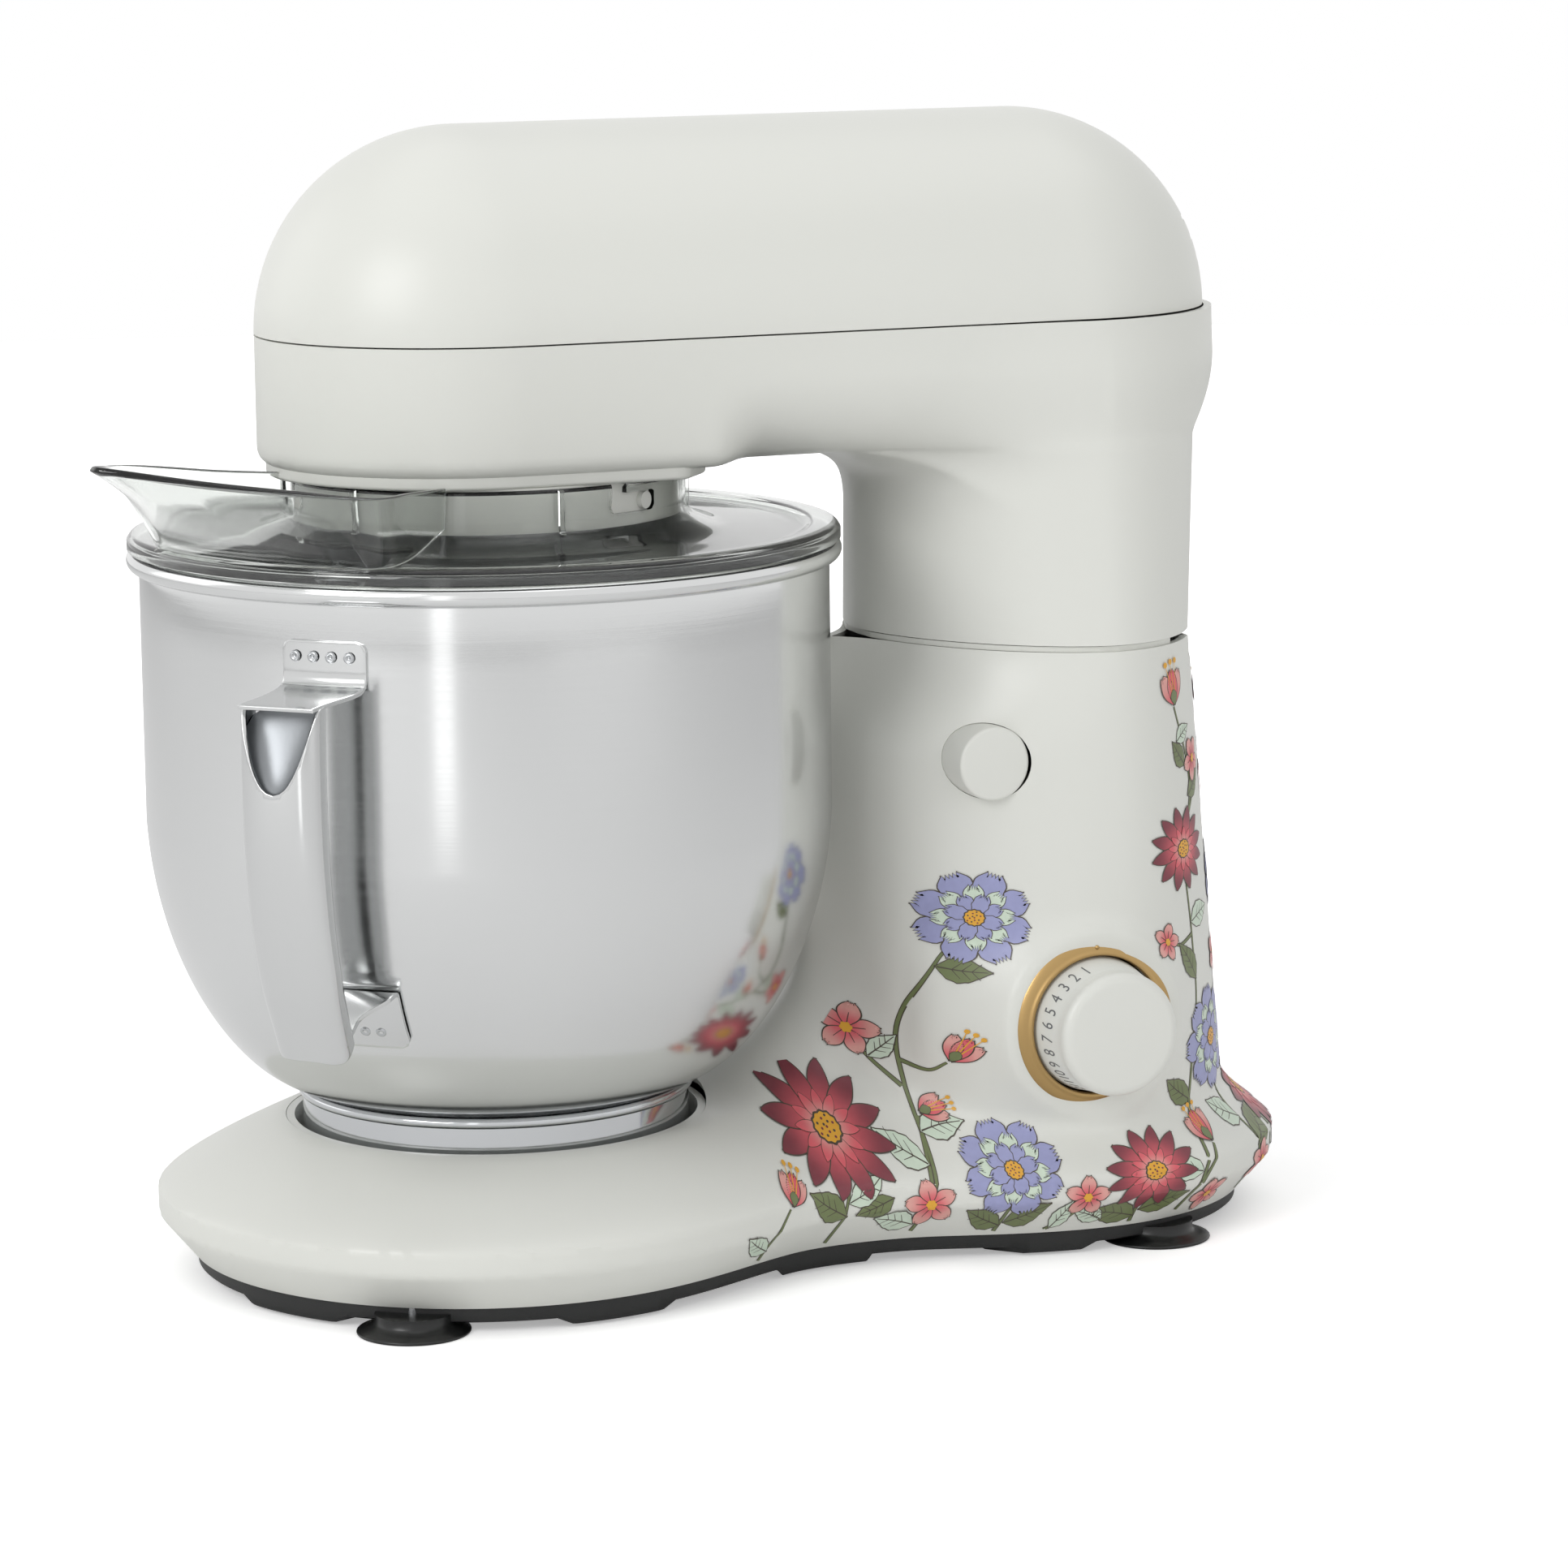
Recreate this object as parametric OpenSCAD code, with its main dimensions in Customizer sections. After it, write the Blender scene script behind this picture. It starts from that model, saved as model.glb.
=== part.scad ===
// Tilt-head planetary stand mixer with a lift-off bowl and a clear splash guard.
// Millimetres, +Z up, +X towards the rear column, -Y towards the control side.
// Every place is measured from the bowl axis; placed() moves it to the frame's origin.

/* [Placement] */
// Bowl axis, ahead of the centre of the mixer's outline
axis_x = -63; // [-80:0.5:-40]
// Direction in which the planet shaft stands at rest
planet_dir = 158; // [90:1:270]
// Direction of the bowl's handle
handle_dir = -135; // [-150:1:-120]

/* [Base] */
// Height of the black tray's underside above the table
tray_z = 3; // [2:0.5:6]
// Height of the white housing's lower edge
base_z = 8; // [6:0.5:12]
// Radius of the round front of the base
lobe_r = 101.5; // [98:0.5:110]
// Centre of that round front, along X
lobe_x = -4; // [-6:0.5:0]
// Radius of the round rear of the base
rear_r = 82; // [80:0.5:90]
// Centre of that round rear, along X
rear_x = 175; // [170:0.5:180]
// Half width of the base between its two round ends
waist_w = 68; // [64:0.5:74]
// Height at which the base's wall starts to slope in
shoulder_z = 27; // [24:0.5:30]
// Height of the top of the base, where the bowl sinks in
well_z = 47.8; // [44:0.2:54]
// Radius of the bowl's well
well_r = 65.4; // [64:0.2:70]
// Wall of the moulded housings
wall = 2.5; // [2:0.1:3]

/* [Column] */
// Height of the joint at which the head tilts
seam_z = 190.8; // [186:0.2:200]
// Front of the column at that joint
column_front = 122; // [118:0.5:126]
// Place of the column's greatest width, along X
column_mid = 180; // [176:0.5:184]
// Rear of the column at that joint
column_rear = 227; // [224:0.5:232]
// Half width of the column at that joint
column_w = 72; // [70:0.5:76]
// Height of the axis on which the head tilts
hinge_z = 194; // [193:0.2:196]
// Place of that axis, along X
hinge_x = 214; // [212:0.5:216]
// Radius of the hinge pin
hinge_pin_r = 4; // [3:0.25:5]
// Length of the hinge pin
hinge_pin_l = 48; // [45:1:52]

/* [Head] */
// Radius of the head's capsule
head_r = 62; // [60:0.5:64]
// Centre of the head's round nose, along X
nose_x = -7; // [-9:0.5:-4]
// Centre of the head's round rear, along X
tail_x = 174.5; // [172:0.5:178]
// Height of the seam between the lower head and its cover
head_z = 290; // [286:0.5:296]
// Height of the head's underside
belly_z = 251; // [249:0.5:253]
// Depth of the pad under the nose
nose_pad = 3; // [2:0.5:5]
// Gap in the seam under the cover
cover_gap = 0.5; // [0.3:0.1:1]
// Width of a vent slit in the cover
vent_w = 2; // [1.5:0.1:3]
// Number of vent slits
vents = 4; // [2:1:5]

/* [Bowl] */
// Outer radius of the bowl's wall
bowl_r = 105.5; // [100:0.5:108]
// Height of the rolled rim's centre
rim_z = 222.45; // [215:0.05:224]
// Radius of the rolled rim's section
rim_roll = 3.05; // [2.5:0.05:4]
// Thickness of the bowl's sheet
bowl_t = 1.2; // [0.8:0.1:2]
// Outer radius of the bowl's foot
foot_r = 60; // [56:0.5:62]
// Height of the foot's lower edge
foot_z = 30; // [26:0.5:34]
// Length of a bayonet tab around the foot, in degrees
tab_deg = 16; // [10:1:24]
// Width of the handle's grip
grip_w = 25; // [20:0.5:30]
// Reach of the grip beyond the bowl's wall
grip_out = 31.5; // [28:0.5:38]
// Thickness of the handle's sheet
grip_t = 1.6; // [1:0.1:2.5]

/* [Splash guard] */
// Outer radius of the guard's collar
collar_r = 61.7; // [61:0.1:63]
// Thickness of the guard's clear plastic
guard_t = 2; // [1.6:0.1:2.4]
// Overhang of the guard's flange beyond the bowl's wall
flange_over = 3.5; // [2:0.5:5]
// Height of the pour chute's lip
chute_z = 262; // [256:0.5:266]
// Reach of the chute's lip beyond the bowl's wall
chute_out = 34.5; // [26:0.5:40]

/* [Controls] */
// Height of the speed knob's axis
knob_z = 73.2; // [70:0.2:76]
// Place of the speed knob's axis, along X
knob_x = 171.3; // [168:0.1:174]
// Distance of the bezel's face from the middle plane
knob_y = 76; // [75:0.5:80]
// Outer radius of the bezel
bezel_r = 26.6; // [24:0.2:30]
// Radius of the knob's cap
cap_r = 18.6; // [16:0.2:20]
// Height of the knob's cap in front of the bezel
cap_h = 23; // [16:0.5:26]
// Radius of the tilt button
button_r = 11.5; // [9:0.1:13]
// Place of the tilt button, along X
button_x = 141; // [138:0.5:146]
// Height of the tilt button
button_z = 155.8; //  [148:0.5:160]
// Distance of the button's face from the middle plane
button_y = 66.5; // [64:0.5:70]
// Travel of the tilt button
button_travel = 5; // [3:0.5:6]

/* [Drive] */
// Module of all the gears
gear_m = 1.5; // [1.5]
// Teeth of the fixed ring gear
ring_n = 72; // [72]
// Teeth of the planet pinion
planet_n = 12; // [12]
// Teeth of the main gear
main_n = 60; // [60]
// Teeth of the intermediate pinion
idler_n = 12; // [12]
// Radius of the intermediate pulley
idler_pulley_r = 40; // [34:1:42]
// Radius of the motor's pulley
motor_pulley_r = 8; // [7:0.5:10]
// Place of the motor's axis, along X
motor_x = 176; // [174:0.5:178]
// Radius of the motor's can
motor_r = 36; // [30:0.5:38]
// Radius of the planet's shaft
planet_shaft_r = 4; // [3:0.25:5]

/* [Clearances] */
// Running clearance of a shaft in its bearing
run = 0.05; // [0.02:0.01:0.1]
// Gap between moulded pieces
gap = 0.3; // [0.3:0.05:0.5]

/* [Hidden] */
$fn = 72;

SIDE = 26;                 // steps along each side of a housing's section
CHAMFER = 10;              // inset of the housing's lower edge
BELLY_R = 26;              // rounding under the middle and rear of the head
NOSE_EDGE = 5;             // rounding under the nose
deck_t = 1.7;              // thickness of the column's deck
base_top = seam_z - 0.3 - deck_t;
ring_r = gear_m * ring_n / 2;
planet_off = gear_m * (ring_n - planet_n) / 2;
idler_x = gear_m * (main_n + idler_n) / 2;
frame_z = belly_z + 14.5;  // underside of the gear frame
frame_t = 6;
gear_z = frame_z + frame_t + 2.5;
belt_z = gear_z + 13;
belt_w = 9;
belt_t = 1.6;
hub_z = belly_z - 15;      // underside of the planet hub
hub_r = ring_r + 1.3;
mount_r = collar_r - guard_t - gap;
shaft_r = 6;
seat_z = foot_z;       // floor of the bowl socket
flange_z = rim_z + rim_roll + 0.3;
flange_r = bowl_r + flange_over;
chute_reach = bowl_r + chute_out;
grip_r = bowl_r + grip_out;
chute_a = -178;            // the chute lies between these two directions
chute_b = -126;
white = "#dfe0da";
dark = "#1d1f1e";

// ---------- sections of the housings ----------
function clamp01(t) = min(1, max(0, t));
function ease(t) = let (u = clamp01(t)) u * u * (3 - 2 * u);
function mix(a, b, t) = a + (b - a) * t;
function disc_w(x, c, r) = r <= 0 || abs(x - c) >= r ? 0 : sqrt(r * r - (x - c) * (x - c));
// Largest of two widths, rounded over k where they are nearly equal
function blend(a, b, k) =
    let (kk = min(k, 2 * min(a, b) + 0.001), h = max(kk - abs(a - b), 0) / kk)
    max(a, b) + h * h * kk / 4;
// Half width of an egg from x0 to x1 with its greatest width w at xm
function egg_w(x, x0, xm, x1, w, p, q) =
    x <= x0 || x >= x1 ? 0
    : x < xm ? w * pow(1 - pow((xm - x) / (xm - x0), p), 1 / p)
    : w * pow(1 - pow((x - xm) / (x1 - xm), q), 1 / q);

// How far the base's outline is drawn in at a height
function slab_inset(z) =
    z < base_z + 12 ? CHAMFER * (base_z + 12 - z) / 12
    : z < shoulder_z ? 0
    : (lobe_r - well_r - 1.2) * pow((z - shoulder_z) / (well_z - shoulder_z), 1.25);
function waist_at(x, w) =
    w <= 0 ? 0 : x < lobe_x || x > rear_x ? 0 : w;
// The round front's centre moves onto the well's axis as the wall slopes in
function lobe_c(z) = lobe_x * (1 - clamp01((z - shoulder_z) / (well_z - shoulder_z)));
function slab_w(x, z) =
    let (d = slab_inset(z))
    blend(blend(disc_w(x, lobe_c(z), lobe_r - d), disc_w(x, rear_x, rear_r - d), 24),
          waist_at(x, waist_w - d), 24);
function column_drop(z) = clamp01((seam_z - z) / (seam_z - well_z));
function column_fill(z) = ease((seam_z - z) / 36);
function column_x0(z) = column_front - 12.5 * column_fill(z);
function column_x1(z) = column_rear + 13 * column_drop(z);
function column_at(x, z) =
    egg_w(x, column_x0(z), column_mid, column_x1(z), column_w + 2 * column_drop(z),
          mix(1.65, 2.1, column_fill(z)), 2);
// The saddle that carries the column's front down to the edge of the well
function saddle_x0(z) = well_r + 1 + max(z - well_z, 0) * 1.25;
function saddle_b(z) =
    mix(30, 8, clamp01((z - well_z) / 34)) * clamp01(1 - (z - well_z - 34) / 24);
function saddle_w(x, z) =
    let (x0 = saddle_x0(z), u = clamp01((x - x0) / 22))
    x <= x0 || x > column_mid ? 0 : saddle_b(z) * sqrt(u * (2 - u));

// How far the head's outline is drawn in at a height: little under the nose, more behind it
function edge_inset(z, r) = let (h = clamp01((z - belly_z) / r)) r - r * sqrt(1 - (1 - h) * (1 - h));
function head_inset(x, z) =
    mix(edge_inset(z, NOSE_EDGE), edge_inset(z, BELLY_R), ease((x - 52) / 20));
function head_at(x, z) =
    let (e = head_inset(x, z), xc = x < nose_x ? nose_x : x > tail_x ? tail_x : x)
    disc_w(x, xc, head_r - e);
function neck_x0(z) = column_front - 14 * pow(clamp01((z - belly_z + 14) / 14), 3);
function neck_x1(z) = column_rear + 4 * clamp01((z - seam_z) / 60);
function neck_at(x, z) =
    let (w = column_w - 6 * clamp01((z - seam_z) / (belly_z - seam_z))
             - 16 * clamp01((z - belly_z) / (head_z - belly_z)))
    egg_w(x, neck_x0(z), column_mid, neck_x1(z), w, 1.65, 2);

// The hollow shapes by number: 0 the base, 1 the column on it, 2 the neck, 3 the lower head
function half_w(x, z, kind) =
    kind == 0 ? slab_w(x, z)
    : kind == 1 ? blend(saddle_w(x, z), column_at(x, z), 20)
    : kind == 2 ? neck_at(x, z) : blend(head_at(x, z), neck_at(x, z), 14);
function first_x(z, kind) =
    kind == 0 ? lobe_c(z) - lobe_r + slab_inset(z)
    : kind == 1 ? min(saddle_x0(z), column_x0(z))
    : kind == 2 ? neck_x0(z) : nose_x - head_r + edge_inset(z, NOSE_EDGE);
function last_x(z, kind) =
    kind == 0 ? rear_x + rear_r - slab_inset(z)
    : kind == 1 ? column_x1(z)
    : kind == 2 ? neck_x1(z) : max(neck_x1(z), tail_x + head_r - edge_inset(z, BELLY_R));

// One closed section: the near side from front to rear, then the far side back
function section(z, inset, kind) =
    let (x0 = first_x(z, kind) + inset,
         x1 = last_x(z, kind) - inset,
         xs = [for (i = [0:SIDE]) x0 + (x1 - x0) * (1 - cos(180 * i / SIDE)) / 2],
         ws = [for (i = [0:SIDE]) i == 0 || i == SIDE ? 0
               : max(half_w(xs[i], z, kind) - inset, 0.2)])
    concat([for (i = [0:SIDE - 1]) [xs[i], -ws[i]]], [for (i = [SIDE:-1:1]) [xs[i], ws[i]]]);
function ring_at(z, from_z, inset, kind) =
    [for (p = section(from_z, inset, kind)) [p[0], p[1], z]];
function ring_up(zs, kind) = [for (z = zs) ring_at(z, z, 0, kind)];
// Inner rings from the top down; all but the ends take the outline at rise above themselves
function ring_down(zs, rise, kind) = [for (k = [len(zs) - 1:-1:0])
    ring_at(zs[k], zs[k] + (k == 0 || k == len(zs) - 1 ? 0 : rise), wall, kind)];
// A skin over rings of n points: closed into a loop, or capped at its two ends
module skin(rings, capped) {
    n = 2 * SIDE;
    m = len(rings);
    sides = [for (k = [0:m - (capped ? 2 : 1)], i = [0:n - 1])
        let (a = k * n, b = ((k + 1) % m) * n, j = (i + 1) % n)
        each [[a + i, b + i, b + j], [a + i, b + j, a + j]]];
    caps = [[for (i = [0:n - 1]) i], [for (i = [n - 1:-1:0]) (m - 1) * n + i]];
    polyhedron(points = [for (r = rings) each r], faces = concat(sides, capped ? caps : []),
        convexity = 6);
}
// A moulded housing is cut as one mesh
module moulded() resize([0, 0, 0]) children();
module slice(z, inset, kind) polygon(section(z, inset, kind));
module placed() translate([axis_x, 0, 0]) children();

// ---------- small shared shapes ----------
module tube(r, bore, h) difference() {
    cylinder(r = r, h = h);
    translate([0, 0, -1]) cylinder(r = bore, h = h + 2);
}
// Along -Y, starting at the plane y = 0 and growing towards the control side
module facing() rotate([90, 0, 0]) children();
module screw(r, h, head, head_h) {
    cylinder(r = r, h = h);
    translate([0, 0, -head_h]) cylinder(r = head, h = head_h);
}
function polar(r, a) = [r * cos(a), r * sin(a)];
// Involute tooth flank: turn of the flank at a radius, from the tooth's middle
function involute(r, rb) = r <= rb ? 0 : let (c = acos(rb / r)) tan(c) * 180 / PI - c;
function half_tooth(r, n, play) =
    let (rp = gear_m * n / 2, rb = rp * cos(25))
    90 / n - play / rp * 90 / PI + involute(rp, rb) - involute(r, rb);
// Outline of a gear with n stub teeth; play is taken off each tooth at the pitch circle
function gear_outline(n, tip, root, play) = [
    for (t = [0:n - 1])
        let (rp = gear_m * n / 2, r0 = rp - root, r1 = rp + tip, a = 360 * t / n)
        each concat(
            [for (s = [0:3]) let (r = mix(r0, r1, s / 3)) polar(r, a - half_tooth(r, n, play))],
            [for (s = [3:-1:0]) let (r = mix(r0, r1, s / 3)) polar(r, a + half_tooth(r, n, play))])];
module spur(n, h) linear_extrude(h) polygon(gear_outline(n, 0.8 * gear_m, 1.05 * gear_m, 0.1));

// ---------- base ----------
knob_boss = [28, 41.5, 18];  // radius of its face, radius at its root, and depth
screw_pos = [[-52, -74], [-52, 74], [197, -63], [197, 63]];
module base_housing() color(white) moulded() placed() {
    outer = [base_z, base_z + 6, base_z + 12, shoulder_z, 29.5, 32, 35, 38, 41, 44, 46.2, well_z];
    inner = [base_z, base_z + 6, base_z + 12, shoulder_z - 1, 31, 36, 41, well_z - wall];
    tower = [34, well_z, 52, 58, 66, 76, 88, 104, 124, 142, 155, 165, 175, base_top];
    hollow = [34, well_z, 54, 66, 84, 110, 140, 155, 168, base_top];
    difference() {
        union() {
            skin(concat([ring_at(well_z - wall, well_z, wall, 0)],
                ring_down([for (k = [0:len(inner) - 2]) inner[k]], wall, 0), ring_up(outer, 0)), true);
            skin(concat(ring_up(tower, 1), ring_down(hollow, wall, 1)), false);
            difference() {
                translate([knob_x, -knob_y + 2, knob_z]) rotate([-90, 0, 0])
                    cylinder(r1 = knob_boss[0], r2 = knob_boss[1], h = knob_boss[2]);
                skin([for (z = concat([24], hollow)) ring_at(z, max(z, 34), wall - 0.5, 1)], true);
            }
        }
        translate([0, 0, base_z - 1]) cylinder(r = well_r, h = seam_z);
        translate([0, 0, well_z - wall - 2]) linear_extrude(wall + 4) slice(well_z, wall + 2, 1);
        translate([knob_x, -knob_y + 12, knob_z]) facing() cylinder(r = bezel_r - 5, h = 20);
        translate([knob_x, -knob_y + 3.5, knob_z]) facing() cylinder(r = bezel_r + gap, h = 10);
        translate([button_x, -20, button_z]) facing() cylinder(r = button_r + gap, h = 60);
        translate([rear_x, 0, gland_z]) rotate([0, 90, 0]) cylinder(r = gland_r, h = 100);
        for (p = screw_pos) translate([p[0], p[1], 0]) cylinder(r = 2.5, h = 18);
        hinge_relief();
    }
}
gland_r = 6;
gland_z = 21;
// Room behind the tilt axis for the head's rear edge
module hinge_relief() intersection() {
    translate([hinge_x, 0, hinge_z]) rotate([90, 0, 0])
        cylinder(r = column_rear - hinge_x + 2, h = 200, center = true);
    translate([hinge_x + 2, -100, 100]) cube([60, 200, 200]);
}
module base_tray() color(dark) placed() difference() {
    union() {
        translate([0, 0, tray_z + 1]) linear_extrude(base_z - tray_z - 1) slice(base_z, 1.5, 0);
        for (b = [[-98, 20, 26], [-4, -84, 30], [92, -56, 30], [172, -64, 24], [-4, 84, 30], [92, 56, 30]])
            translate([b[0], b[1], tray_z]) intersection() {
                cylinder(r = b[2] / 2, h = 3);
                translate([-b[0], -b[1], 0]) linear_extrude(4) slice(base_z, 4, 0);
            }
    }
    for (p = screw_pos) translate([p[0], p[1], -1]) cylinder(r = 2.1, h = 12);
}
module suction_feet() color("#161817") placed() for (p = screw_pos) translate([p[0], p[1], 0])
    difference() {
        union() {
            cylinder(r = 17, h = 1.2);
            translate([0, 0, 1.2]) cylinder(r1 = 16, r2 = 11, h = 1.6);
            cylinder(r = 11, h = tray_z + 1);
        }
        translate([0, 0, -1]) cylinder(r = 2.1, h = 12);
        translate([0, 0, -1]) cylinder(r = 4.2, h = tray_z + 1);
    }
module foot_screws() color("silver") placed() for (p = screw_pos) translate([p[0], p[1], 1.6])
    difference() {
        union() {
            cylinder(r = 3.8, h = 1.4);
            cylinder(r = 2.1, h = base_z + 6);
        }
        translate([0, 0, -0.1]) cylinder(r = 1.6, h = 0.8, $fn = 6);
    }
// Cup that lines the well: wall, floor and the lips that hold the bowl's tabs
lip_dirs = [0, 120, 240];
module bowl_socket() color(white) placed() difference() {
    union() {
        translate([0, 0, seat_z - 3]) cylinder(r = well_r - 0.2, h = 3);
        translate([0, 0, seat_z - 3]) tube(well_r - 0.2, well_r - 0.2 - wall, well_z - seat_z + 2.8);
        translate([0, 0, base_z]) tube(14, 11, seat_z - 3 - base_z);
        for (a = lip_dirs) rotate([0, 0, a - 3]) translate([0, 0, foot_z + 5])
            rotate_extrude(angle = 22, start = 0) translate([foot_r + 0.6, 0]) square([2.4, 2]);
    }
    for (a = [0:90:270]) rotate([0, 0, a]) translate([34, 0, 0]) cylinder(r = 2, h = 60);
}
module socket_screws() color("silver") placed() for (a = [0:90:270]) rotate([0, 0, a])
    translate([34, 0, seat_z]) difference() {
        union() {
            cylinder(r = 3.6, h = 1.6);
            translate([0, 0, -10]) cylinder(r = 2, h = 10);
        }
        translate([0, 0, 0.9]) cylinder(r = 1.5, h = 1, $fn = 6);
    }
deck_end = 202.4;
module column_deck() color(white) placed() difference() {
    translate([0, 0, base_top]) linear_extrude(deck_t) intersection() {
        slice(base_top, 1.2, 1);
        translate([0, -100]) square([deck_end, 200]);
    }
    translate([striker_x - 8, -9, 0]) cube([16, 18, 300]);
}
module hinge_bracket() color("#8f9296") placed() difference() {
    union() {
        translate([hinge_x - 32, -26, base_top - 3]) cube([18, 52, 3]);
        for (s = [-1, 1]) translate([0, s * 20, 0]) rotate([90, 0, 0]) linear_extrude(4, center = true)
            union() {
                translate([hinge_x, hinge_z]) circle(r = hinge_pin_r + 2.5);
                polygon([[hinge_x - 32, base_top - 3], [hinge_x, base_top - 3],
                         [hinge_x + 5, hinge_z - 4], [hinge_x - 5, hinge_z + 4],
                         [hinge_x - 11, base_top], [hinge_x - 32, base_top]]);
            }
    }
    translate([hinge_x, 50, hinge_z]) facing() cylinder(r = hinge_pin_r, h = 100);
}
module hinge_pin() color("silver") placed() translate([hinge_x, hinge_pin_l / 2, hinge_z])
    facing() cylinder(r = hinge_pin_r, h = hinge_pin_l);
module speed_bezel() color("#b78f4a") placed() translate([knob_x, -knob_y + 3.5, knob_z]) facing()
    difference() {
        union() {
            cylinder(r = bezel_r, h = 3);
            translate([0, 0, 3]) cylinder(r1 = bezel_r, r2 = bezel_r - 1.6, h = 1.6);
        }
        translate([0, 0, -1]) cylinder(r = 21.6, h = 10);
        translate([0, 24, 4.1]) cylinder(r = 0.9, h = 2);
    }
switch_y = knob_y - 12;
module speed_switch() color("#3a4b58") placed() difference() {
    union() {
        translate([knob_x, -switch_y + 22, knob_z]) facing() cylinder(r = 17, h = 14);
        translate([knob_x - 15, -switch_y + 7, knob_z - 15]) cube([30, 1, 30]);
        translate([knob_x, -switch_y + 8, knob_z]) facing() cylinder(r = 6, h = 6);
    }
    translate([knob_x, -switch_y + 30, knob_z]) facing() cylinder(r = 3 + run, h = 50);
}
module control_board() color("#2f6b45") placed() difference() {
    translate([knob_x - 32, -switch_y + 22, knob_z - 26]) cube([64, 1.6, 56]);
    translate([knob_x, -switch_y + 40, knob_z]) facing() cylinder(r = 6, h = 50);
}
// Sleeve behind the button: a bore for the stem and a seat for its spring
stem_r = 4;
guide_y = 36;
module button_guide() color("#c9cac5") placed() translate([button_x, -guide_y, button_z]) facing()
    difference() {
        union() {
            translate([0, 0, -4]) cylinder(r = 9, h = 4);
            cylinder(r = stem_r + 2, h = 3);
            translate([-9, -3, -4]) cube([18, 6, 4]);
        }
        translate([0, 0, -20]) cylinder(r = stem_r + run, h = 60);
    }
spring_r = 7;
module button_spring() color("silver") placed() translate([button_x, -guide_y, button_z]) facing()
    coil(spring_r, 0.5, 0.6, button_y - guide_y - cap_depth + 2, 4);
// A round wire of radius w wound in turns of radius r from height h0 to h1
module coil(r, w, h0, h1, turns) {
    steps = 14 * turns;
    pts = [for (i = [0:steps]) let (a = 360 * turns * i / steps, h = mix(h0 + w, h1 - w, i / steps))
        for (j = [0:5]) let (b = 60 * j)
            [(r + w * cos(b)) * cos(a), (r + w * cos(b)) * sin(a), h + w * sin(b)]];
    last = steps * 6;
    faces = concat(
        [[for (j = [0:5]) j]], [[for (j = [5:-1:0]) last + j]],
        [for (i = [0:steps - 1], j = [0:5]) let (k = (j + 1) % 6)
            each [[i * 6 + j, (i + 1) * 6 + j, (i + 1) * 6 + k], [i * 6 + j, (i + 1) * 6 + k, i * 6 + k]]]);
    polyhedron(points = pts, faces = faces, convexity = 8);
}
module power_gland() color(dark) placed() difference() {
    union() {
        translate([last_x(gland_z, 0) - 12, 0, gland_z]) rotate([0, 90, 0]) cylinder(r = gland_r, h = 13.3);
        translate([last_x(gland_z, 0) - 12, 0, gland_z]) rotate([0, 90, 0]) cylinder(r = gland_r + 2, h = 2.5);
        translate([last_x(gland_z, 0) + 0.3, 0, gland_z]) rotate([0, 90, 0])
            cylinder(r1 = gland_r + 1.5, r2 = gland_r + 0.5, h = 1);
    }
    translate([100, 0, gland_z]) rotate([0, 90, 0]) cylinder(r = 3.2, h = 300);
}

// ---------- head ----------
module head_lower() color(white) moulded() placed() {
    neck_outer = [seam_z, 205, 220, belly_z - 13, belly_z - 9, belly_z - 6, belly_z - 3,
                  belly_z - 1, belly_z + 0.3];
    neck_inner = [seam_z, 205, 220, belly_z - 13, belly_z - 8, belly_z - 4, belly_z + 0.3];
    outer = [belly_z, belly_z + 1.5, belly_z + 4, belly_z + 7, belly_z + 11,
             belly_z + 16, belly_z + 21, belly_z + 27, head_z - 5, head_z];
    inner = [belly_z + wall, belly_z + wall + 1.5, belly_z + 7, belly_z + 10, belly_z + 15,
             belly_z + 20, belly_z + 27, head_z];
    difference() {
        union() {
            skin(concat(ring_up(outer, 3), [ring_at(head_z, head_z, wall, 3)],
                [for (k = [len(inner) - 2:-1:0]) ring_at(inner[k], inner[k] - wall, wall, 3)]), true);
            skin(concat(ring_up(neck_outer, 2), ring_down(neck_inner, 0, 2)), false);
            translate([0, 0, belly_z - nose_pad]) linear_extrude(nose_pad + 1) nose_pad_outline();
            for (s = [-1, 1])
                translate([84, s * 30, belly_z + 1]) cylinder(r = 5, h = frame_z - belly_z - 1);
        }
        translate([0, 0, belly_z - 20]) cylinder(r = mount_r - 2.5, h = 24);
        translate([0, 0, belly_z - 1]) linear_extrude(wall + 2) slice(belly_z - 1, wall + 4, 2);
        for (s = [-1, 1]) translate([84, s * 30, belly_z + 5]) cylinder(r = 1.6, h = 40);
    }
}
module nose_pad_outline() {
    translate([nose_x, 0]) circle(r = head_r - NOSE_EDGE + 2.5);
    polygon([[nose_x, -head_r + 2.5], [48, -head_r + 2.5], [56, -head_r + 12],
             [56, head_r - 12], [48, head_r - 2.5], [nose_x, head_r - 2.5]]);
}
cover_screw_pos = [[64, 46], [64, -46], [120, 50], [120, -50]];
module head_cover() color(white) placed() difference() {
    translate([nose_x, 0, head_z + cover_gap]) rotate([0, 90, 0])
        rotate_extrude(angle = 180, start = 90) difference() {
            capsule_half(head_r);
            capsule_half(head_r - wall);
        }
    for (k = [0:vents - 1])
        translate([tail_x + 30, -26, head_z + 9 + k * 6]) cube([60, 52, vent_w]);
}
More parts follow.
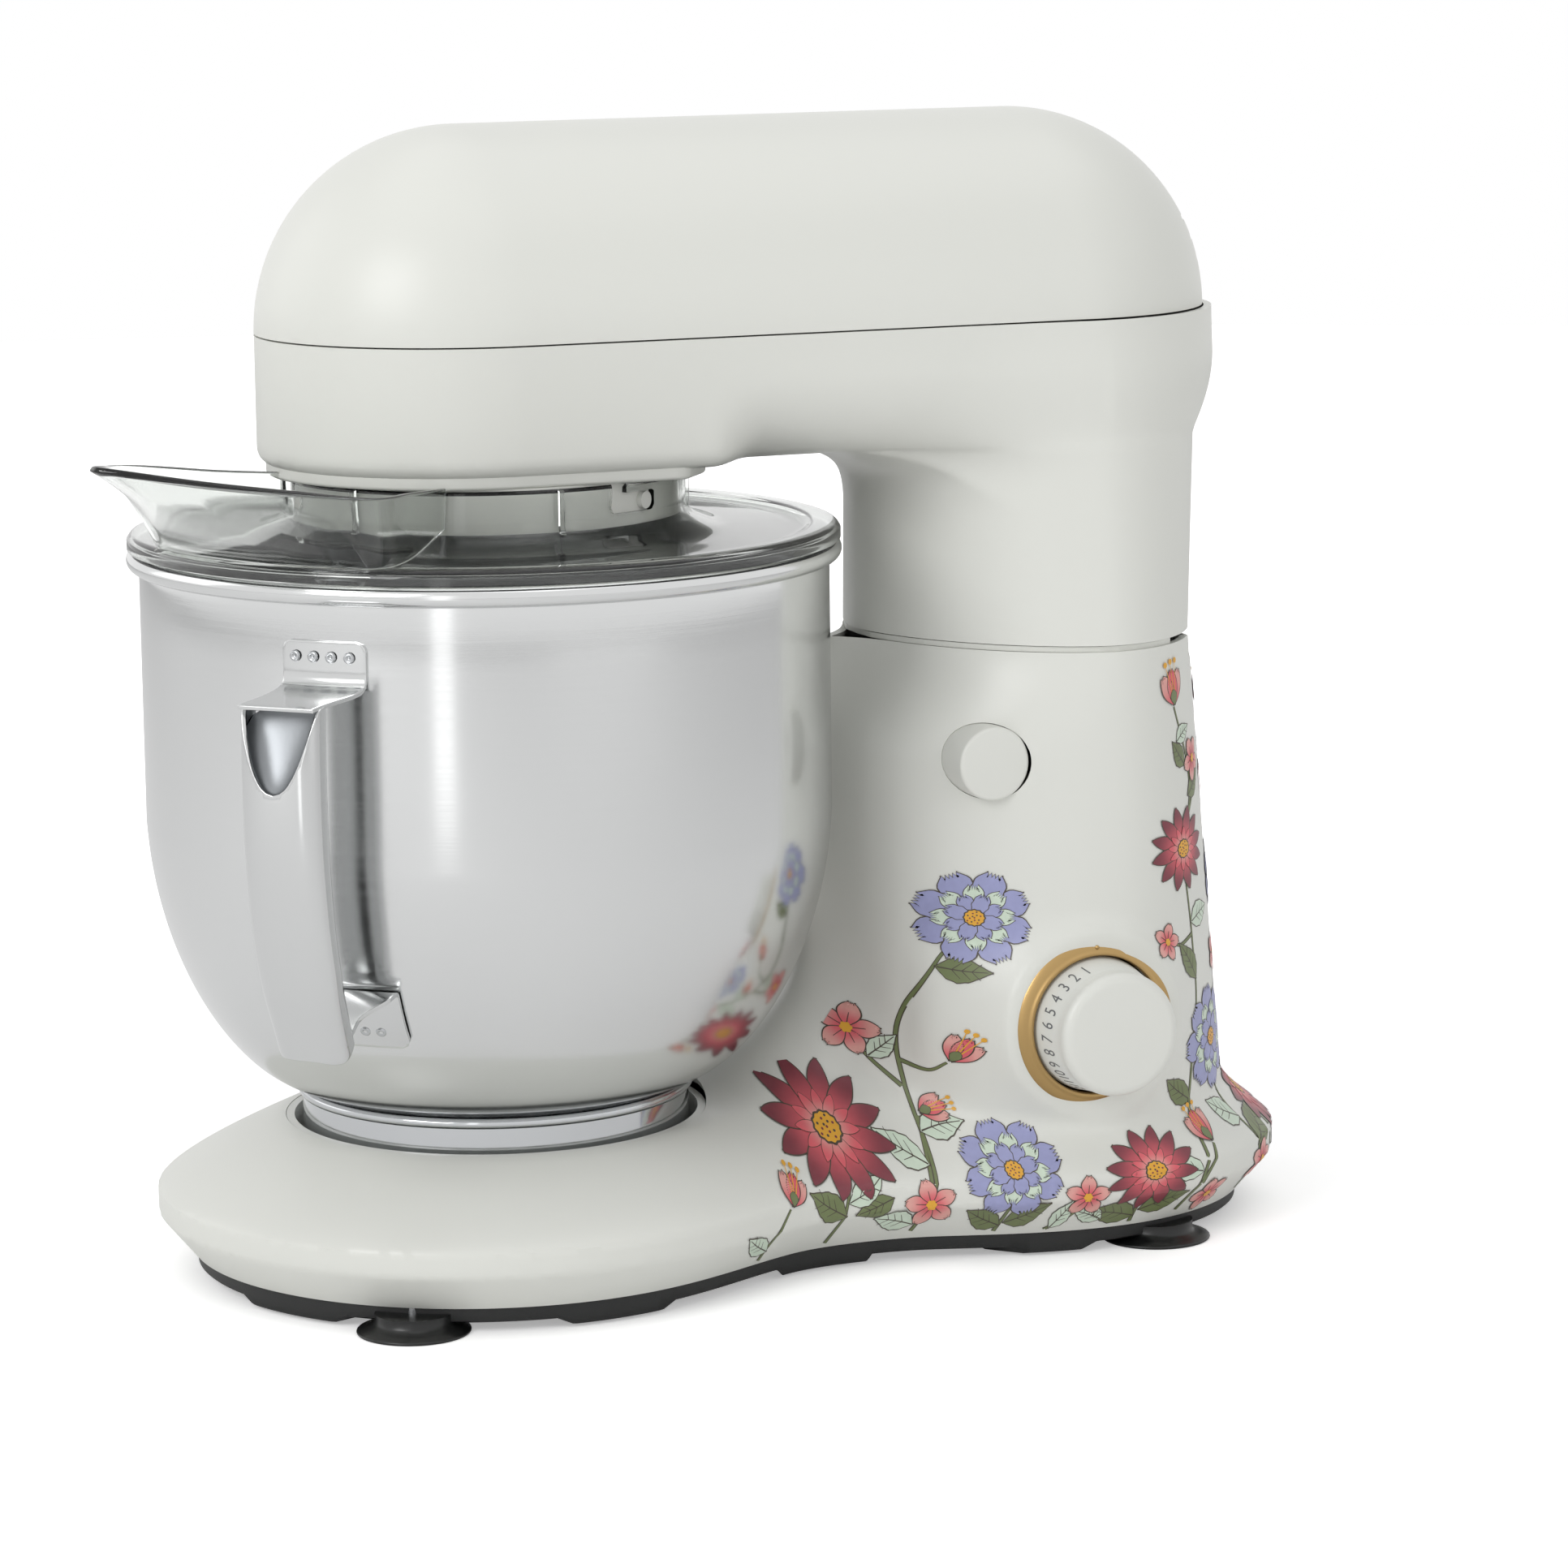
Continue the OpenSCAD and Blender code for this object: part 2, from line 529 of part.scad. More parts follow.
// Half of a capsule's outline, to one side of its long axis
module capsule_half(r) intersection() {
    union() {
        circle(r = r);
        translate([0, tail_x - nose_x]) circle(r = r);
        square([r, tail_x - nose_x]);
    }
    translate([0, -200]) square([200, 800]);
}
module cover_screws() color("silver") placed() for (p = cover_screw_pos)
    translate([p[0], p[1], frame_z]) screw(1.6, 8, 3.2, 2);
module neck_plate() color("#c9cac5") placed() difference() {
    translate([0, 0, seam_z + 0.4]) linear_extrude(2) slice(seam_z, wall + gap, 2);
    translate([hinge_x - 13, -30, 0]) cube([60, 60, 400]);
    translate([striker_x, 0, 0]) cylinder(r = 4, h = 400);
}
knuckle_w = 35;
module hinge_knuckle() color("#8f9296") placed() difference() {
    union() {
        translate([hinge_x, knuckle_w / 2, hinge_z]) facing() cylinder(r = 7.5, h = knuckle_w);
        translate([hinge_x - 7.5, -knuckle_w / 2, hinge_z]) cube([12, knuckle_w, 12]);
        translate([hinge_x - 40, -knuckle_w / 2, hinge_z + 9]) cube([44.5, knuckle_w, 3]);
        translate([hinge_x - 40, -knuckle_w / 2, seam_z + 2.4]) cube([3, knuckle_w, hinge_z + 9 - seam_z]);
    }
    translate([hinge_x, 50, hinge_z]) facing() cylinder(r = hinge_pin_r + run, h = 100);
}
striker_x = 150;
module lock_striker() color("silver") placed() difference() {
    union() {
        translate([striker_x, 0, seam_z - 10]) cylinder(r = 4, h = 16);
        translate([striker_x, 0, seam_z + 2.4]) cylinder(r = 8, h = 3);
    }
    translate([striker_x - 10, 0, seam_z - 6]) rotate([0, 90, 0]) cylinder(r = 1.6, h = 20);
}
lug_dirs = [-56, 64, 184];
module guard_mount() color(white) placed() {
    translate([0, 0, belly_z - nose_pad - 14]) tube(mount_r, mount_r - 3, 14);
    for (a = lug_dirs) rotate([0, 0, a]) translate([mount_r - 1, 0, belly_z - nose_pad - 6.4])
        rotate([0, 90, 0]) cylinder(r = 2.6, h = 2.8);
}
module gear_frame() color("#a9acae") placed() difference() {
    union() {
        translate([0, 0, frame_z]) linear_extrude(frame_t) frame_outline();
        translate([0, 0, frame_z + frame_t]) cylinder(r = 12, h = 1.5);
    }
    translate([0, 0, frame_z - 1]) cylinder(r = 13 - 2, h = 30);
    translate([idler_x, 0, frame_z - 1]) cylinder(r = 9, h = 30);
    translate([motor_x, 0, frame_z - 1]) cylinder(r = motor_r + gap, h = 30);
    for (s = [-1, 1]) translate([84, s * 30, frame_z - 1]) cylinder(r = 1.6, h = 30);
    for (p = cover_screw_pos) translate([p[0], p[1], frame_z - 1]) cylinder(r = 1.6, h = 30);
}
module frame_outline() {
    circle(r = 58.4);
    translate([0, -54]) square([tail_x, 108]);
    translate([tail_x, 0]) circle(r = 54);
}
module ring_gear() color("#7d8084") placed() rotate([0, 0, planet_dir])
    translate([0, 0, belly_z + NOSE_EDGE]) linear_extrude(frame_z - belly_z - NOSE_EDGE) difference() {
        circle(r = 58.4);
        polygon(gear_outline(ring_n, 1.05 * gear_m, 0.8 * gear_m, -0.1));
    }
module main_bearing() color("#c4c7ca") placed() translate([0, 0, frame_z])
    tube(11, shaft_r + run, frame_t + 1.5);
module idler_bearing() color("#c4c7ca") placed() translate([idler_x, 0, frame_z])
    tube(9, 4 + run, frame_t);
can_top = gear_z + 6;
can_h = 66;
module motor_can() color("#6f7479") placed() translate([motor_x, 0, 0]) difference() {
    union() {
        translate([0, 0, can_top - can_h]) cylinder(r = motor_r, h = can_h);
        translate([0, 0, frame_z + frame_t]) cylinder(r = motor_r + 6, h = 2.5);
    }
    translate([0, 0, can_top - can_h + 4]) cylinder(r = motor_r - 6, h = can_h - 8);
    translate([0, 0, 0]) cylinder(r = 8, h = 400);
    for (a = [45:90:315]) rotate([0, 0, a]) translate([motor_r - 8, 0, can_top - can_h - 1])
        cylinder(r = 3, h = 8);
}
module motor_bearings() color("#c4c7ca") placed() for (z = [can_top - can_h, can_top - 4])
    translate([motor_x, 0, z]) tube(8, 3 + run, 4);
module carbon_brushes() color("#2b2b2b") placed() for (s = [-1, 1])
    translate([motor_x, s * 20.85, can_top - 14]) cube([5, 18.08, 5], center = true);
module belt_line(r) hull() {
    translate([idler_x, 0]) circle(r = idler_pulley_r + r, $fn = 96);
    translate([motor_x, 0]) circle(r = motor_pulley_r + r, $fn = 48);
}
// Open belt: two round ends and the straight runs that touch both pulleys
belt_lean = asin((idler_pulley_r - motor_pulley_r) / (motor_x - idler_x));
module belt_area(t) {
    a = 90 - belt_lean;
    translate([idler_x, 0]) circle(r = idler_pulley_r + t);
    translate([motor_x, 0]) circle(r = motor_pulley_r + t);
    polygon([for (s = [-1, 1], e = [0, 1]) let (c = s < 0 ? e : 1 - e,
            x = c == 0 ? idler_x : motor_x, r = (c == 0 ? idler_pulley_r : motor_pulley_r) + t)
        [x + r * cos(a), s * r * sin(a)]]);
}
module drive_belt() color(dark) placed() translate([0, 0, belt_z + 1])
    linear_extrude(belt_w) difference() {
        belt_area(run + belt_t);
        belt_area(run);
    }

// ---------- motor's rotor ----------
module motor_rotor() color("#a5683a") placed() translate([motor_x, 0, 0]) {
    translate([0, 0, can_top - can_h - 2]) cylinder(r = 3, h = belt_z + belt_w + 4 - can_top + can_h);
    translate([0, 0, can_top - can_h + 16]) cylinder(r = motor_r - 9, h = 28);
    translate([0, 0, can_top - 20]) cylinder(r = 11, h = 12);
}
module motor_fan() color("#3c4043") placed() translate([motor_x, 0, can_top - can_h + 6]) {
    tube(7, 3, 8);
    tube(motor_r - 9, 3, 1.2);
    for (a = [0:30:330]) rotate([0, 0, a]) translate([6.5, -0.6, 0]) cube([motor_r - 16, 1.2, 7]);
}
module pulley(r, bore, h) difference() {
    union() {
        cylinder(r = r, h = h);
        cylinder(r = r + belt_t, h = 0.8);
        translate([0, 0, h - 0.8]) cylinder(r = r + belt_t, h = 0.8);
    }
    translate([0, 0, -1]) cylinder(r = bore, h = h + 2);
}
module motor_pulley() color("#d8d9d6") placed() translate([motor_x, 0, belt_z])
    pulley(motor_pulley_r, 3, belt_w + 2);

// ---------- intermediate stage ----------
module idler_shaft() color("silver") placed() translate([idler_x, 0, frame_z + gap])
    difference() {
        cylinder(r = 4, h = belt_z + belt_w + 2.5 - gap - frame_z);
        translate([0, 0, -2]) cylinder(r = 1, h = 4);
    }
module idler_pinion() color("#7d8084") placed() translate([idler_x, 0, gear_z - 0.5])
    difference() {
        rotate([0, 0, 180 + 180 / idler_n]) spur(idler_n, 12);
        translate([0, 0, -1]) cylinder(r = 4, h = 20);
    }
module idler_pulley() color("#d8d9d6") placed() translate([idler_x, 0, belt_z]) difference() {
    pulley(idler_pulley_r, 4, belt_w + 2);
    for (a = [0:60:300]) rotate([0, 0, a]) translate([24, 0, -1]) cylinder(r = 8, h = 20);
    translate([0, 0, 3]) tube(35, 10, 30);
}

// ---------- planetary hub ----------
module planet_hub() color("#b9bcbf") placed() rotate([0, 0, planet_dir]) difference() {
    union() {
        translate([0, 0, hub_z]) cylinder(r = hub_r, h = 3);
        translate([0, 0, hub_z]) tube(hub_r, hub_r - 2, 12);
        translate([0, 0, hub_z]) cylinder(r = 14, h = frame_z - hub_z - 1);
        translate([planet_off, 0, hub_z]) cylinder(r = 9.5, h = 16);
        translate([0, -6, hub_z]) cube([planet_off, 12, 12]);
    }
    translate([0, 0, hub_z - 1]) cylinder(r = shaft_r, h = 60);
    translate([planet_off, 0, hub_z - 1]) cylinder(r = 7, h = 40);
}
module main_shaft() color("silver") placed() difference() {
    translate([0, 0, hub_z]) cylinder(r = shaft_r, h = gear_z + 13 - hub_z);
    translate([0, 0, hub_z - 1]) cylinder(r = 2, h = 8);
}
module main_gear() color("#7d8084") placed() translate([0, 0, gear_z]) difference() {
    union() {
        spur(main_n, 10);
        cylinder(r = 12, h = 12);
    }
    translate([0, 0, -1]) cylinder(r = shaft_r, h = 20);
    for (a = [30:60:330]) rotate([0, 0, a]) translate([28, 0, -1]) cylinder(r = 9, h = 20);
}
module planet_bearing() color("#c4c7ca") placed() rotate([0, 0, planet_dir])
    translate([planet_off, 0, hub_z]) tube(7, planet_shaft_r + run, 16);

// ---------- planet shaft and beater ----------
beater_top = 212;
module planet_shaft() color("silver") placed() rotate([0, 0, planet_dir])
    translate([planet_off, 0, 0]) difference() {
        union() {
            translate([0, 0, beater_top - 8]) cylinder(r = planet_shaft_r, h = frame_z - 1 - beater_top + 8);
            translate([0, 0, hub_z - 2.5]) cylinder(r = planet_shaft_r + 2, h = 2.3);
        }
        translate([0, 10, beater_top + 6]) facing() cylinder(r = 1.3, h = 20);
    }
module planet_pinion() color("#7d8084") placed() rotate([0, 0, planet_dir])
    translate([planet_off, 0, belly_z + NOSE_EDGE]) difference() {
        spur(planet_n, frame_z - belly_z - NOSE_EDGE - 1);
        translate([0, 0, -1]) cylinder(r = planet_shaft_r, h = 40);
    }
module drive_pin() color("silver") placed() rotate([0, 0, planet_dir])
    translate([planet_off, 8, beater_top + 6]) facing() cylinder(r = 1.3, h = 16);
beater_w = 33;
module beater_loop(w0, w1, z0, z1) polygon([
    [-w0 * 0.45, z0], [w0 * 0.45, z0], [w0, z0 + 16], [w1, z0 + (z1 - z0) * 0.55],
    [w1 * 0.92, z1 - 14], [w1 * 0.35, z1], [-w1 * 0.35, z1], [-w1 * 0.92, z1 - 14],
    [-w1, z0 + (z1 - z0) * 0.55], [-w0, z0 + 16]]);
module flat_beater() color("#d9dad6") placed() rotate([0, 0, planet_dir])
    translate([planet_off, 0, 0]) difference() {
        union() {
            rotate([90, 0, 0]) linear_extrude(7, center = true) difference() {
                beater_loop(beater_w, beater_w + 5, 76, 186);
                beater_loop(beater_w - 8, beater_w - 3, 84, 176);
            }
            rotate([90, 0, 0]) linear_extrude(5, center = true) {
                translate([-3, 80]) square([6, 100]);
                for (z = [104, 140]) translate([-beater_w, z]) square([2 * beater_w, 5]);
            }
            translate([0, 0, 176]) cylinder(r = 8, h = beater_top - 176);
        }
        translate([0, 0, beater_top - 9]) cylinder(r = planet_shaft_r + run, h = 40);
    }

// ---------- controls ----------
module speed_knob() color(white) placed() translate([knob_x, -knob_y, knob_z]) facing()
    difference() {
        union() {
            translate([0, 0, -3]) cylinder(r = 21.2, h = 3 + 3);
            translate([0, 0, 3]) cylinder(r1 = cap_r + 1, r2 = cap_r, h = cap_h - 5);
            translate([0, 0, cap_h - 2]) cylinder(r1 = cap_r, r2 = cap_r - 1.5, h = 2);
        }
        translate([0, 0, -4]) cylinder(r = cap_r - 4, h = cap_h - 4);
    }
module knob_spindle() color("silver") placed() translate([knob_x, 0, knob_z]) facing() difference() {
    union() {
        translate([0, 0, switch_y - 20]) cylinder(r = 3, h = knob_y + cap_h - 8 - switch_y + 20);
        translate([0, 0, knob_y - 1]) cylinder(r = cap_r - 4, h = 3);
    }
    translate([0, 0, switch_y - 21]) cylinder(r = 1, h = 6);
}
module release_button() color(white) placed() translate([button_x, 0, button_z]) facing() difference() {
    union() {
        translate([0, 0, button_y - cap_depth]) cylinder(r = button_r, h = cap_depth - 1.4);
        translate([0, 0, button_y - 1.4]) cylinder(r1 = button_r, r2 = button_r - 1.4, h = 1.4);
        translate([0, 0, button_y - 40]) cylinder(r = stem_r, h = 31);
    }
    translate([0, 0, button_y - cap_depth - 1]) tube(button_r - 1.6, stem_r + 1.6, cap_depth - 3);
}
cap_depth = 22;
// Flat bar that the button pushes across the deck towards the striker
module lock_slider() color("#8f9296") placed() difference() {
    union() {
        translate([button_x - 4, -button_y + 40.3, button_z - 6]) cube([8, 6, seam_z - button_z - 4]);
        translate([button_x - 4, -button_y + 40.3, seam_z - 12]) cube([12, 10, 3]);
    }
    translate([button_x, -button_y + 60, button_z + 12]) facing() cylinder(r = 1.5, h = 40);
}

// ---------- bowl ----------
// Outer profile of the bowl, from the foot up: a round bottom and a straight wall
bowl_base_z = 60;
bowl_turn_z = 142;
function bowl_out(t) = let (a = 90 * t) [
    mix(foot_r + 2.5, bowl_r, pow(sin(a), 1.3) * 0.86 + 0.14 * t),
    bowl_base_z + (bowl_turn_z - bowl_base_z) * (1 - cos(a))];
module bowl() color("#c9cbcc") placed() rotate_extrude() {
    difference() {
        polygon(concat([[0, bowl_base_z - 2], [foot_r, bowl_base_z - 2]], [for (k = [0:12]) bowl_out(k / 12)],
            [[bowl_r, rim_z - 1], [0, rim_z - 1]]));
        polygon(concat([[-1, bowl_base_z - 2 + bowl_t], [foot_r - bowl_t / 2, bowl_base_z - 2 + bowl_t]],
            [for (k = [0:12]) bowl_out(k / 12) + [-bowl_t, k < 6 ? 0.6 * bowl_t : 0]],
            [[bowl_r - bowl_t, rim_z], [-1, rim_z]]));
    }
    translate([bowl_r + 0.75, rim_z]) circle(r = rim_roll);
}
module bowl_foot() color("#c9cbcc") placed() {
    rotate_extrude() {
        polygon([[foot_r - bowl_t, foot_z], [foot_r, foot_z], [foot_r, bowl_base_z - 2],
                 [foot_r - bowl_t, bowl_base_z - 2]]);
        translate([foot_r - 0.4, bowl_base_z - 3.6]) circle(r = 1.6);
    }
    for (a = lip_dirs) rotate([0, 0, a]) translate([0, 0, foot_z + 0.4])
        rotate_extrude(angle = tab_deg, start = 0) translate([foot_r - 0.5, 0]) square([2.8, 4]);
}
// Sheet-metal grip: two tabs on the bowl, arms out to a bowed channel
grip_path = [[bowl_r + 0.3, 196], [grip_r - 14, 192], [grip_r - 2, 194], [grip_r, 172], [grip_r - 1, 145],
             [grip_r - 5, 118], [grip_r - 13, 92], [grip_r - 17, 86]];
module bowl_handle() color("#b9bbbc") placed() rotate([0, 0, handle_dir]) {
    // upper tab, spot-welded to the wall
    rotate([0, 0, -7]) translate([0, 0, 190]) rotate_extrude(angle = 14, start = 0)
        translate([bowl_r, 0]) square([grip_t, 19]);
    translate([0, 0, 0]) rotate([90, 0, 0]) linear_extrude(grip_w, center = true)
        polygon(concat([for (p = grip_path) p], [for (k = [len(grip_path) - 1:-1:0])
            grip_path[k] + (k < 2 ? [0, -grip_t] : k == 2 ? [-grip_t, -grip_t] : [-grip_t, 0])]));
    for (s = [-1, 1]) translate([0, s * (grip_w - grip_t) / 2, 0]) rotate([90, 0, 0])
        linear_extrude(grip_t, center = true) polygon(concat(
            [for (k = [2:7]) grip_path[k] + [-grip_t / 2, -grip_t / 2]],
            [[grip_r - 32, 86], [grip_r - 26, 100], [grip_r - 17, 118], [grip_r - 12, 145],
             [grip_r - 12, 172], [grip_r - 12, 192 - grip_t / 2]]));
    // lower arm and tab
    rotate([90, 0, 0]) linear_extrude(grip_w - 2 * grip_t, center = true)
        polygon([[grip_r - 18, 86], [grip_r - 18, 86 + grip_t], [bowl_r - 6.9, 103 + grip_t], [bowl_r - 7.3, 103]]);
}
module handle_grommet() color("#8d9092") placed() rotate([0, 0, handle_dir])
    for (a = [-4.6, -1.5, 1.5, 4.6]) rotate([0, 0, a]) translate([bowl_r + grip_t, 0, 204])
        rotate([0, 90, 0]) cylinder(r = 1, h = 0.5);

// ---------- splash guard ----------
guard_color = "#8f928f90";
neck_r = collar_r - 1;
// Upper side of the guard's disc, outwards from the collar
guard_top = [[collar_r, 236], [neck_r + 2.5, 234.5], [neck_r + 5, 232], [neck_r + 12, 229.8],
             [flange_r - 14, 228.8], [flange_r - 9, 230.6], [flange_r - 3, 230.6]];
module splash_guard() color(guard_color) placed() difference() {
    union() {
        rotate_extrude() polygon(concat(
            [[mount_r + gap, belly_z - nose_pad - 0.4], [collar_r, belly_z - nose_pad - 0.4]],
            guard_top, [[flange_r, 228], [flange_r, flange_z], [flange_r - 8, flange_z], [flange_r - 10, 227.8],
            [flange_r - 14, 226.8], [neck_r + 12, 227.4], [neck_r + 4, 229.4], [neck_r, 232],
            [mount_r + gap, 233.5]]));
        for (a = lug_dirs) rotate([0, 0, a - 31]) translate([collar_r - 0.6, -0.8, belly_z - 15.8])
            cube([2, 1.6, 14.5 - nose_pad]);
    }
    // the chute's opening through the disc
    translate([0, 0, 200]) rotate_extrude(angle = chute_b - chute_a - 4, start = chute_a + 2)
        translate([neck_r + 6, 0]) square([flange_r - 10 - neck_r - 6, 60]);
    for (a = lug_dirs) rotate([0, 0, a - 14.8]) translate([0, 0, belly_z - nose_pad - 9.6])
        rotate_extrude(angle = 18, start = 0) translate([mount_r, 0]) square([6, 6.4]);
    for (a = lug_dirs) rotate([0, 0, a - 14.4]) translate([0, 0, belly_z - nose_pad - 6.5])
        rotate_extrude(angle = 5.4, start = 0) translate([mount_r - 0.4, 0]) square([6, 20]);
}
// Scoop over the opening: side walls out from the collar and a flared outer wall
chute_steps = 16;
function chute_foot(t) =
    t < 0.2 ? polar(mix(collar_r + 0.4, flange_r - 11, t / 0.2), chute_b)
    : t > 0.8 ? polar(mix(flange_r - 11, collar_r + 0.4, (t - 0.8) / 0.2), chute_a)
    : polar(flange_r - 11, mix(chute_b, chute_a, (t - 0.2) / 0.6));
function chute_lip(t) =
    let (u = clamp01((t - 0.2) / 0.6), bow = sin(180 * u))
    t < 0.2 || t > 0.8 ? chute_foot(t) * (1 + 0.05 * (1 - abs(t - 0.5) * 2))
    : polar(mix(flange_r - 4, chute_reach, pow(bow, 0.7)), mix(chute_b, chute_a, u));
function chute_top(t) = mix(belly_z - nose_pad - 0.6, chute_z, pow(sin(180 * clamp01(t)), 1.6));
function chute_seat(p) = lookup(norm(p), guard_top) + gap;
module pour_chute() color(guard_color) placed() {
    n = chute_steps;
    ts = [for (i = [0:n]) i / n];
    inward = [for (i = [0:n]) let (a = chute_foot(max(i - 1, 0) / n), b = chute_foot(min(i + 1, n) / n),
        d = b - a) [-d[1], d[0]] / norm(d) * guard_t];
    points = concat(
        [for (i = [0:n]) let (p = chute_foot(ts[i])) [p[0], p[1], chute_seat(p)]],
        [for (i = [0:n]) let (p = chute_lip(ts[i])) [p[0], p[1], chute_top(ts[i])]],
        [for (i = [0:n]) let (p = chute_lip(ts[i]) + inward[i]) [p[0], p[1], chute_top(ts[i])]],
        [for (i = [0:n]) let (p = chute_foot(ts[i]) + inward[i]) [p[0], p[1], chute_seat(p)]]);
    m = n + 1;
    faces = concat(
        [for (k = [0:3], i = [0:n - 1]) let (a = k * m + i, b = ((k + 1) % 4) * m + i)
            each [[a, b, b + 1], [a, b + 1, a + 1]]],
        [[0, 3 * m, 2 * m, m]], [[n, m + n, 2 * m + n, 3 * m + n]]);
    polyhedron(points = points, faces = faces, convexity = 6);
}

base_housing();
base_tray();
suction_feet();
foot_screws();
bowl_socket();
socket_screws();
column_deck();
hinge_bracket();
hinge_pin();
speed_bezel();
speed_switch();
control_board();
button_guide();
button_spring();
power_gland();
head_lower();
head_cover();
cover_screws();
neck_plate();
hinge_knuckle();
lock_striker();
guard_mount();
gear_frame();
ring_gear();
main_bearing();
idler_bearing();
motor_can();
motor_bearings();
carbon_brushes();
drive_belt();
motor_rotor();
motor_fan();
motor_pulley();
idler_shaft();
idler_pinion();
idler_pulley();
planet_hub();
main_shaft();
main_gear();
planet_bearing();
planet_shaft();
planet_pinion();
drive_pin();
flat_beater();
speed_knob();
knob_spindle();
release_button();
lock_slider();
bowl();
bowl_foot();
bowl_handle();
handle_grommet();
splash_guard();
pour_chute();
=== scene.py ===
import math
import bmesh
import bpy
import numpy as np
from mathutils import Matrix, Vector


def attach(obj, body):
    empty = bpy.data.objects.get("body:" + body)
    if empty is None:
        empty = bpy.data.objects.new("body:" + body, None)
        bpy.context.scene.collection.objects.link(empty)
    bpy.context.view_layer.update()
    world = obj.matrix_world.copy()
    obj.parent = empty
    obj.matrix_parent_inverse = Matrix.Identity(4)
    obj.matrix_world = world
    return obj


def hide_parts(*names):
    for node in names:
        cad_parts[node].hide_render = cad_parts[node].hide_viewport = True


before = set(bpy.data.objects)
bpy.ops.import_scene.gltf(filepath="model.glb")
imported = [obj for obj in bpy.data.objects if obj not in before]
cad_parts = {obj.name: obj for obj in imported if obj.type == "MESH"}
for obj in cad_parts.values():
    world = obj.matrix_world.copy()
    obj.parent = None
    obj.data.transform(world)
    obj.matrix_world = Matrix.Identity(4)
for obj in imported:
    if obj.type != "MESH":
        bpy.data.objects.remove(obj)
bmeshOps = bmesh.ops
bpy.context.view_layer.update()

# Shapes are worked out in millimetres from the bowl's axis, then placed in the frame
mixer = {"axisX": -63.0, "seamZ": 190.8, "coverZ": 290.0, "bellyZ": 251.0, "shell": 2.4}


def toFrame(points):
    return (np.asarray(points, float) + [mixer["axisX"], 0, 0]) * 0.001


def mix(a, b, t):
    return a + (b - a) * t


def unit(t):
    return np.clip(t, 0.0, 1.0)


def ease(t):
    return unit(t) ** 2 * (3 - 2 * unit(t))


# Smaller of two distances, rounded over k where they are nearly equal
def softMin(a, b, k):
    h = unit(0.5 + 0.5 * (b - a) / k)
    return mix(b, a, h) - k * h * (1 - h)


def softMax(a, b, k):
    return -softMin(-a, -b, k)


# Quads of a grid of rows by columns, either of which may close on itself
def gridFaces(rows, cols, closeRows=False, closeCols=False):
    r, c = np.meshgrid(np.arange(rows - (not closeRows)), np.arange(cols - (not closeCols)), indexing="ij")
    r, c = r.ravel(), c.ravel()
    rNext, cNext = (r + 1) % rows, (c + 1) % cols
    return np.stack([r * cols + c, r * cols + cNext, rNext * cols + cNext, rNext * cols + c], 1)


# Points of an arc in a profile, from one direction to another, in degrees
def arc(centre, r, start, end, steps=12):
    a = np.radians(np.linspace(start, end, steps))
    return np.stack([centre[0] + r * np.cos(a), centre[1] + r * np.sin(a)], 1)


def newPiece(name, points, faces, body, slotName, *replaced):
    mesh = bpy.data.meshes.new(name)
    mesh.from_pydata(toFrame(points).tolist(), [], [list(f) for f in faces])
    piece = bpy.data.objects.new(name, mesh)
    bpy.context.scene.collection.objects.link(piece)
    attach(piece, body)
    if replaced:
        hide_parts(*replaced)
    return piece


# Merges what coincides, turns the faces outwards, applies the modifiers and marks the sharp edges
def finishPiece(piece, material, sharp=32, weld=0.00002, modifiers=()):
    made = bmeshOf(piece)
    bmeshOps.remove_doubles(made, verts=made.verts, dist=weld)
    bmeshOps.dissolve_degenerate(made, dist=weld / 4, edges=made.edges)
    bmeshOps.recalc_face_normals(made, faces=made.faces)
    made.to_mesh(piece.data)
    made.free()
    for kind, values in modifiers:
        step = piece.modifiers.new(kind.title(), kind)
        for key, value in values.items():
            setattr(step, key, value)
    if modifiers:
        graph = bpy.context.evaluated_depsgraph_get()
        done = bpy.data.meshes.new_from_object(piece.evaluated_get(graph), depsgraph=graph)
        done.name = piece.name
        piece.modifiers.clear()
        piece.data = done
    piece.data.shade_smooth()
    piece.data.set_sharp_from_angle(angle=math.radians(sharp))
    piece.data.materials.clear()
    piece.data.materials.append(material)
    return piece


def bmeshOf(piece):
    made = bmesh.new()
    made.from_mesh(piece.data)
    return made


# A piece from a mesh (points, faces), finished at once
def addPiece(name, mesh, body, slotName, finishName, *replaced, sharp=40, **more):
    piece = newPiece(name, *mesh, body, slotName, *replaced)
    return finishPiece(piece, finishes[finishName], sharp, **more)


# Modifiers in millimetres: a sheet thickened inwards, and its edges rounded
def thickened(thickness, **more):
    return ("SOLIDIFY", {"thickness": thickness * 0.001, "offset": -1.0, **more})


def edged(width):
    return ("BEVEL", {"width": width * 0.001, "segments": 2, "limit_method": "ANGLE"})


